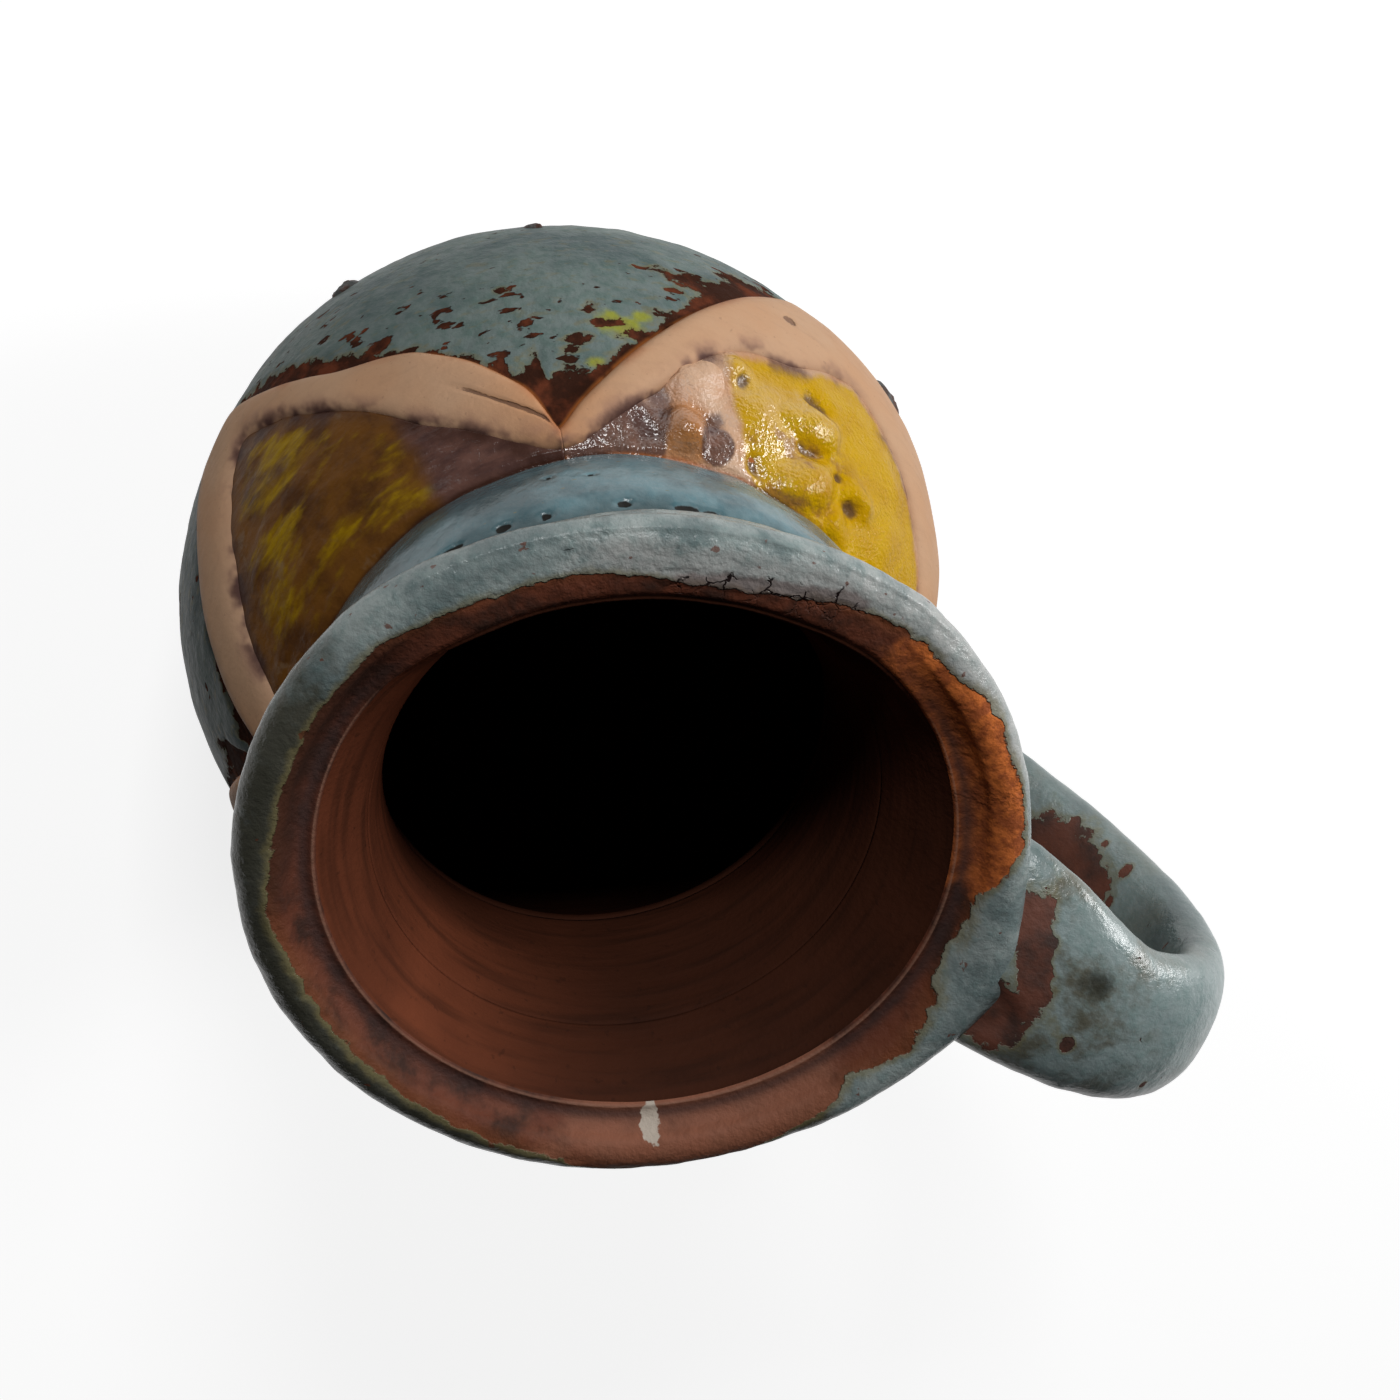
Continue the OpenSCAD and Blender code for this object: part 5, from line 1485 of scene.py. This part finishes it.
class JUG_OT_pellets(bpy.types.Operator):
    """Presses the clay pellets on the right-hand panel, with their edges smoothed into its relief"""

    bl_idname = "jug.make_pellets"
    bl_label = "Pellets"
    bl_options = {"REGISTER", "UNDO"}

    rings = 16
    sides = 48
    # Angle, angle on the belly, radius and rise in millimetres, and squareness of each pellet
    places = ((100.3, 42.2, 3.9, 1.1, 0.72), (97.5, 33.6, 3.6, 0.5, 1), (91.5, 30.3, 3.2, 0.5, 1),
              (75.5, 32, 4.4, 0.55, 1), (74.5, 41.6, 4.2, 0.6, 0.85), (64, 37.4, 4.0, 0.5, 1))

    def dome(self, sizes, noise, place_az, place_el, reach, lift, square):
        """Points and fields of one pellet: a dome over the relief, closed below it."""
        share = np.linspace(0, 1, self.rings + 1)[1:, None]
        turn = np.radians(np.arange(self.sides) * 360 / self.sides)[None, :]
        across = np.sign(np.cos(turn)) * np.abs(np.cos(turn)) ** square
        up = np.sign(np.sin(turn)) * np.abs(np.sin(turn)) ** square
        across, up = np.append(share * across, 0.0), np.append(share * up, 0.0)
        share = np.append(share + 0 * turn, 0.0)
        el = place_el + np.degrees(up * reach * MM / sizes.belly_arc)
        radius = belly_off(sizes) + sizes.belly_arc * np.cos(np.radians(el))
        az = place_az + np.degrees(across * reach * MM / radius)
        flat = belly_points(sizes, az, el, 0.0)
        from_seam = np.radians(panel_top(sizes) - el) * sizes.belly_arc / MM
        rise, hollow = relief(sizes, az, el)
        skin = sizes.panel_t / MM + rise * smooth_step(from_seam, 0.2, 2.5)
        skin = skin + 0.16 * noise.layered(flat, 5 * MM, 3)
        base = seam_taper(from_seam) * skin
        dome = lift * (1 - share ** 2) ** 1.5 * (1 + 0.3 * noise(flat, 3 * MM)) - 0.10 * share ** 4
        top = belly_points(sizes, az, el, (base + dome) * MM)
        below = belly_points(sizes, az, el, 0.1 * MM)
        deep = np.full(az.shape, 9.0)
        marks = {"from_band": deep, "from_seam": from_seam, "rise": rise, "hollow": hollow}
        return top, below, {**marks, **relief_fields(az, el, deep)}

    def execute(self, context):
        sizes = context.scene.jug_sizes
        noise = ClayNoise(80)
        points, faces, fields = [], [], {}
        for place in self.places:
            top, below, marks = self.dome(sizes, noise, *place)
            first = 2 * len(top) * len(points)
            count = self.rings * self.sides
            for start, turned in ((first, False), (first + count + 1, True)):
                skin = [tuple(face) for face in grid_faces(self.rings, self.sides) + start]
                skin += [face[::-1] for face in fan_faces(start, self.sides, start + count)]
                faces += [face[::-1] for face in skin] if turned else skin
            rim = first + count - self.sides
            for k in range(self.sides):
                j = (k + 1) % self.sides
                faces.append((rim + k, rim + j, rim + j + count + 1, rim + k + count + 1))
            points.append(np.concatenate([top, below]))
            for key, value in marks.items():
                fields.setdefault(key, []).append(np.concatenate([value, value]))
        fields = {key: np.concatenate(value) for key, value in fields.items()}
        finish = bpy.data.materials["yellow_relief"]
        piece = make_piece("panel_pellets", np.concatenate(points), faces, [finish], fields)
        seat_piece(piece, "pellet_clay", "relief_pellets")
        return {"FINISHED"}


class JUG_OT_nubs(bpy.types.Operator):
    """Sets the small dark nubs of clay on the belly"""

    bl_idname = "jug.make_nubs"
    bl_label = "Nubs"
    bl_options = {"REGISTER", "UNDO"}

    # Angle, angle on the belly and share of the usual size of each nub
    places = ((118, -12.1, 0.8), (148, -14.0, 1.3), (57, -0.9, 2.3))
    usual_size = 1.9 * MM
    sunk = 0.25 * MM

    def execute(self, context):
        sizes = context.scene.jug_sizes
        az, el, share = np.array(self.places).T
        points = belly_points(sizes, az, el, -self.sunk)
        outwards = belly_points(sizes, az, el, 1.0) - belly_points(sizes, az, el, 0.0)
        fields = {"wall": ("FLOAT_VECTOR", outwards), "size": ("FLOAT", self.usual_size * share)}
        values = {"Rise": 0.55, "Unevenness": 1.2 * MM, "Grain": 1.6 * MM,
                  "Finish": nub_clay(context.scene.jug_colours)}
        piece = grown_piece("clay_nubs", points, [], lump_tree(), values, fields)
        seat_piece(piece, "dark_clay", "belly_nubs")
        return {"FINISHED"}


def camera_frame():
    """Turn and place of the camera, from the tilt, roll and distance at which the lip is seen."""
    tilt, roll = math.radians(VIEW_TILT), math.radians(VIEW_ROLL)
    towards = Vector((math.sin(tilt), 0, math.cos(tilt)))
    down = Vector((-math.cos(tilt), 0, math.sin(tilt)))
    right = Vector((0, -1, 0))
    across = math.cos(roll) * right + math.sin(roll) * down
    below = math.cos(roll) * down - math.sin(roll) * right
    half = IMAGE_SIDE / 2
    aim = Vector((*((pixel - half) / FOCAL_PIXELS for pixel in LIP_CENTRE_PIXEL), 1))
    swing = Vector((0, 0, 1)).rotation_difference(aim.normalized()).to_matrix()
    rows = swing @ Matrix((across, below, -towards))
    axes = Matrix((rows[0], -rows[1], -rows[2])).transposed()
    heading = Matrix.Rotation(math.radians(VIEW_HEADING), 3, "Z")
    place = heading @ (VIEW_DISTANCE * towards) + Vector((0, 0, LIP_PLANE_HEIGHT))
    return heading @ axes, place


class JUG_OT_stage(bpy.types.Operator):
    """Sets the white floor, the lights and the camera"""

    bl_idname = "jug.make_stage"
    bl_label = "Stage"
    bl_options = {"REGISTER", "UNDO"}

    floor_half = 3.0
    world_level = 0.012
    # Soft lights: angle about the jug's axis, angle above the floor, distance, width, height and power
    lights = {
        "key": (46, 13, 0.9, 0.20, 0.46, 5.2),
        "front": (114, 35, 0.9, 0.20, 0.20, 3.8),
        "glint": (152, 25, 0.9, 0.06, 0.06, 0.4),
    }

    def floor(self):
        """A white floor that keeps a soft shadow."""
        half = self.floor_half
        mesh = bpy.data.meshes.new("floor")
        corners = [(-half, -half, 0), (half, -half, 0), (half, half, 0), (-half, half, 0)]
        mesh.from_pydata(corners, [], [(0, 1, 2, 3)])
        f = Finish("floor_white")
        path = f.add("ShaderNodeLightPath")
        seen = f.larger(path.outputs["Is Camera Ray"], path.outputs["Is Glossy Ray"])
        seen = f.larger(seen, path.outputs["Is Transmission Ray"])
        matt = f.add("ShaderNodeBsdfDiffuse", {"Color": (0.42, 0.42, 0.42)})
        dim = f.add("ShaderNodeBsdfDiffuse", {"Color": (0.10, 0.10, 0.10)})
        glow = f.add("ShaderNodeEmission", {"Color": (1, 1, 1), "Strength": 0.82})
        plain = f.add("ShaderNodeAddShader", {0: matt.outputs[0], 1: glow.outputs[0]})
        mixed = f.add("ShaderNodeMixShader", {0: seen, 1: dim.outputs[0], 2: plain.outputs[0]})
        f.add("ShaderNodeOutputMaterial", {"Surface": mixed.outputs[0]})
        mesh.materials.append(f.material)
        floor = bpy.data.objects.new("floor", mesh)
        bpy.context.scene.collection.objects.link(floor)

    def lamp(self, name, turn, rise, distance, width, height, power, target):
        """A four-sided soft light that faces the jug."""
        light = bpy.data.lights.new(name, "AREA")
        light.shape = "RECTANGLE"
        light.size = width
        light.size_y = height
        light.energy = power
        lamp = bpy.data.objects.new(name, light)
        away = Vector(ring_points(math.cos(math.radians(rise)), turn, math.sin(math.radians(rise))))
        lamp.location = target + distance * away
        lamp.rotation_euler = away.to_track_quat("Z", "Y").to_euler()
        bpy.context.scene.collection.objects.link(lamp)

    def execute(self, context):
        scene = context.scene
        self.floor()
        axes, place = camera_frame()
        camera = bpy.data.cameras.new("camera")
        camera.sensor_width = SENSOR_WIDTH
        camera.lens = FOCAL_PIXELS / IMAGE_SIDE * SENSOR_WIDTH
        camera.clip_start = 0.01
        holder = bpy.data.objects.new("camera", camera)
        holder.matrix_world = Matrix.Translation(place) @ axes.to_4x4()
        scene.collection.objects.link(holder)
        scene.camera = holder
        target = Vector((0, 0, scene.jug_sizes.seam_h))
        for name, settings in self.lights.items():
            self.lamp(name, *settings, target)
        world = bpy.data.worlds.new("soft_room")
        world.use_nodes = True
        level = world.node_tree.nodes["Background"].inputs
        level["Color"].default_value = (1, 1, 1, 1)
        level["Strength"].default_value = self.world_level
        scene.world = world
        scene.view_settings.view_transform = "Standard"
        return {"FINISHED"}


class JUG_PT_panel(bpy.types.Panel):
    """Lists the jug's pieces, sizes and colours"""

    bl_idname = "JUG_PT_panel"
    bl_label = "Glazed jug"
    bl_space_type = "VIEW_3D"
    bl_region_type = "UI"
    bl_category = "Jug"

    def draw(self, context):
        for operator in OPERATORS:
            self.layout.operator(operator.bl_idname)
        for group in (context.scene.jug_sizes, context.scene.jug_colours):
            box = self.layout.box()
            for key in group.__annotations__:
                box.prop(group, key)


OPERATORS = (JUG_OT_stage, JUG_OT_body, JUG_OT_neck, JUG_OT_lip, JUG_OT_handle, JUG_OT_foot_coil,
             JUG_OT_bands, JUG_OT_panels, JUG_OT_pellets, JUG_OT_nubs)
CLASSES = (JugSizes, JugColours, *OPERATORS, JUG_PT_panel)


def register():
    for cls in CLASSES:
        bpy.utils.register_class(cls)
    bpy.types.Scene.jug_sizes = PointerProperty(type=JugSizes)
    bpy.types.Scene.jug_colours = PointerProperty(type=JugColours)


def unregister():
    del bpy.types.Scene.jug_colours
    del bpy.types.Scene.jug_sizes
    for cls in reversed(CLASSES):
        bpy.utils.unregister_class(cls)


def main():
    register()
    bpy.ops.jug.make_stage()
    bpy.ops.jug.make_body()
    bpy.ops.jug.make_neck()
    bpy.ops.jug.make_lip()
    bpy.ops.jug.make_handle()
    bpy.ops.jug.make_foot_coil()
    bpy.ops.jug.make_bands()
    bpy.ops.jug.make_panels()
    bpy.ops.jug.make_pellets()
    bpy.ops.jug.make_nubs()


if __name__ == "__main__":
    main()
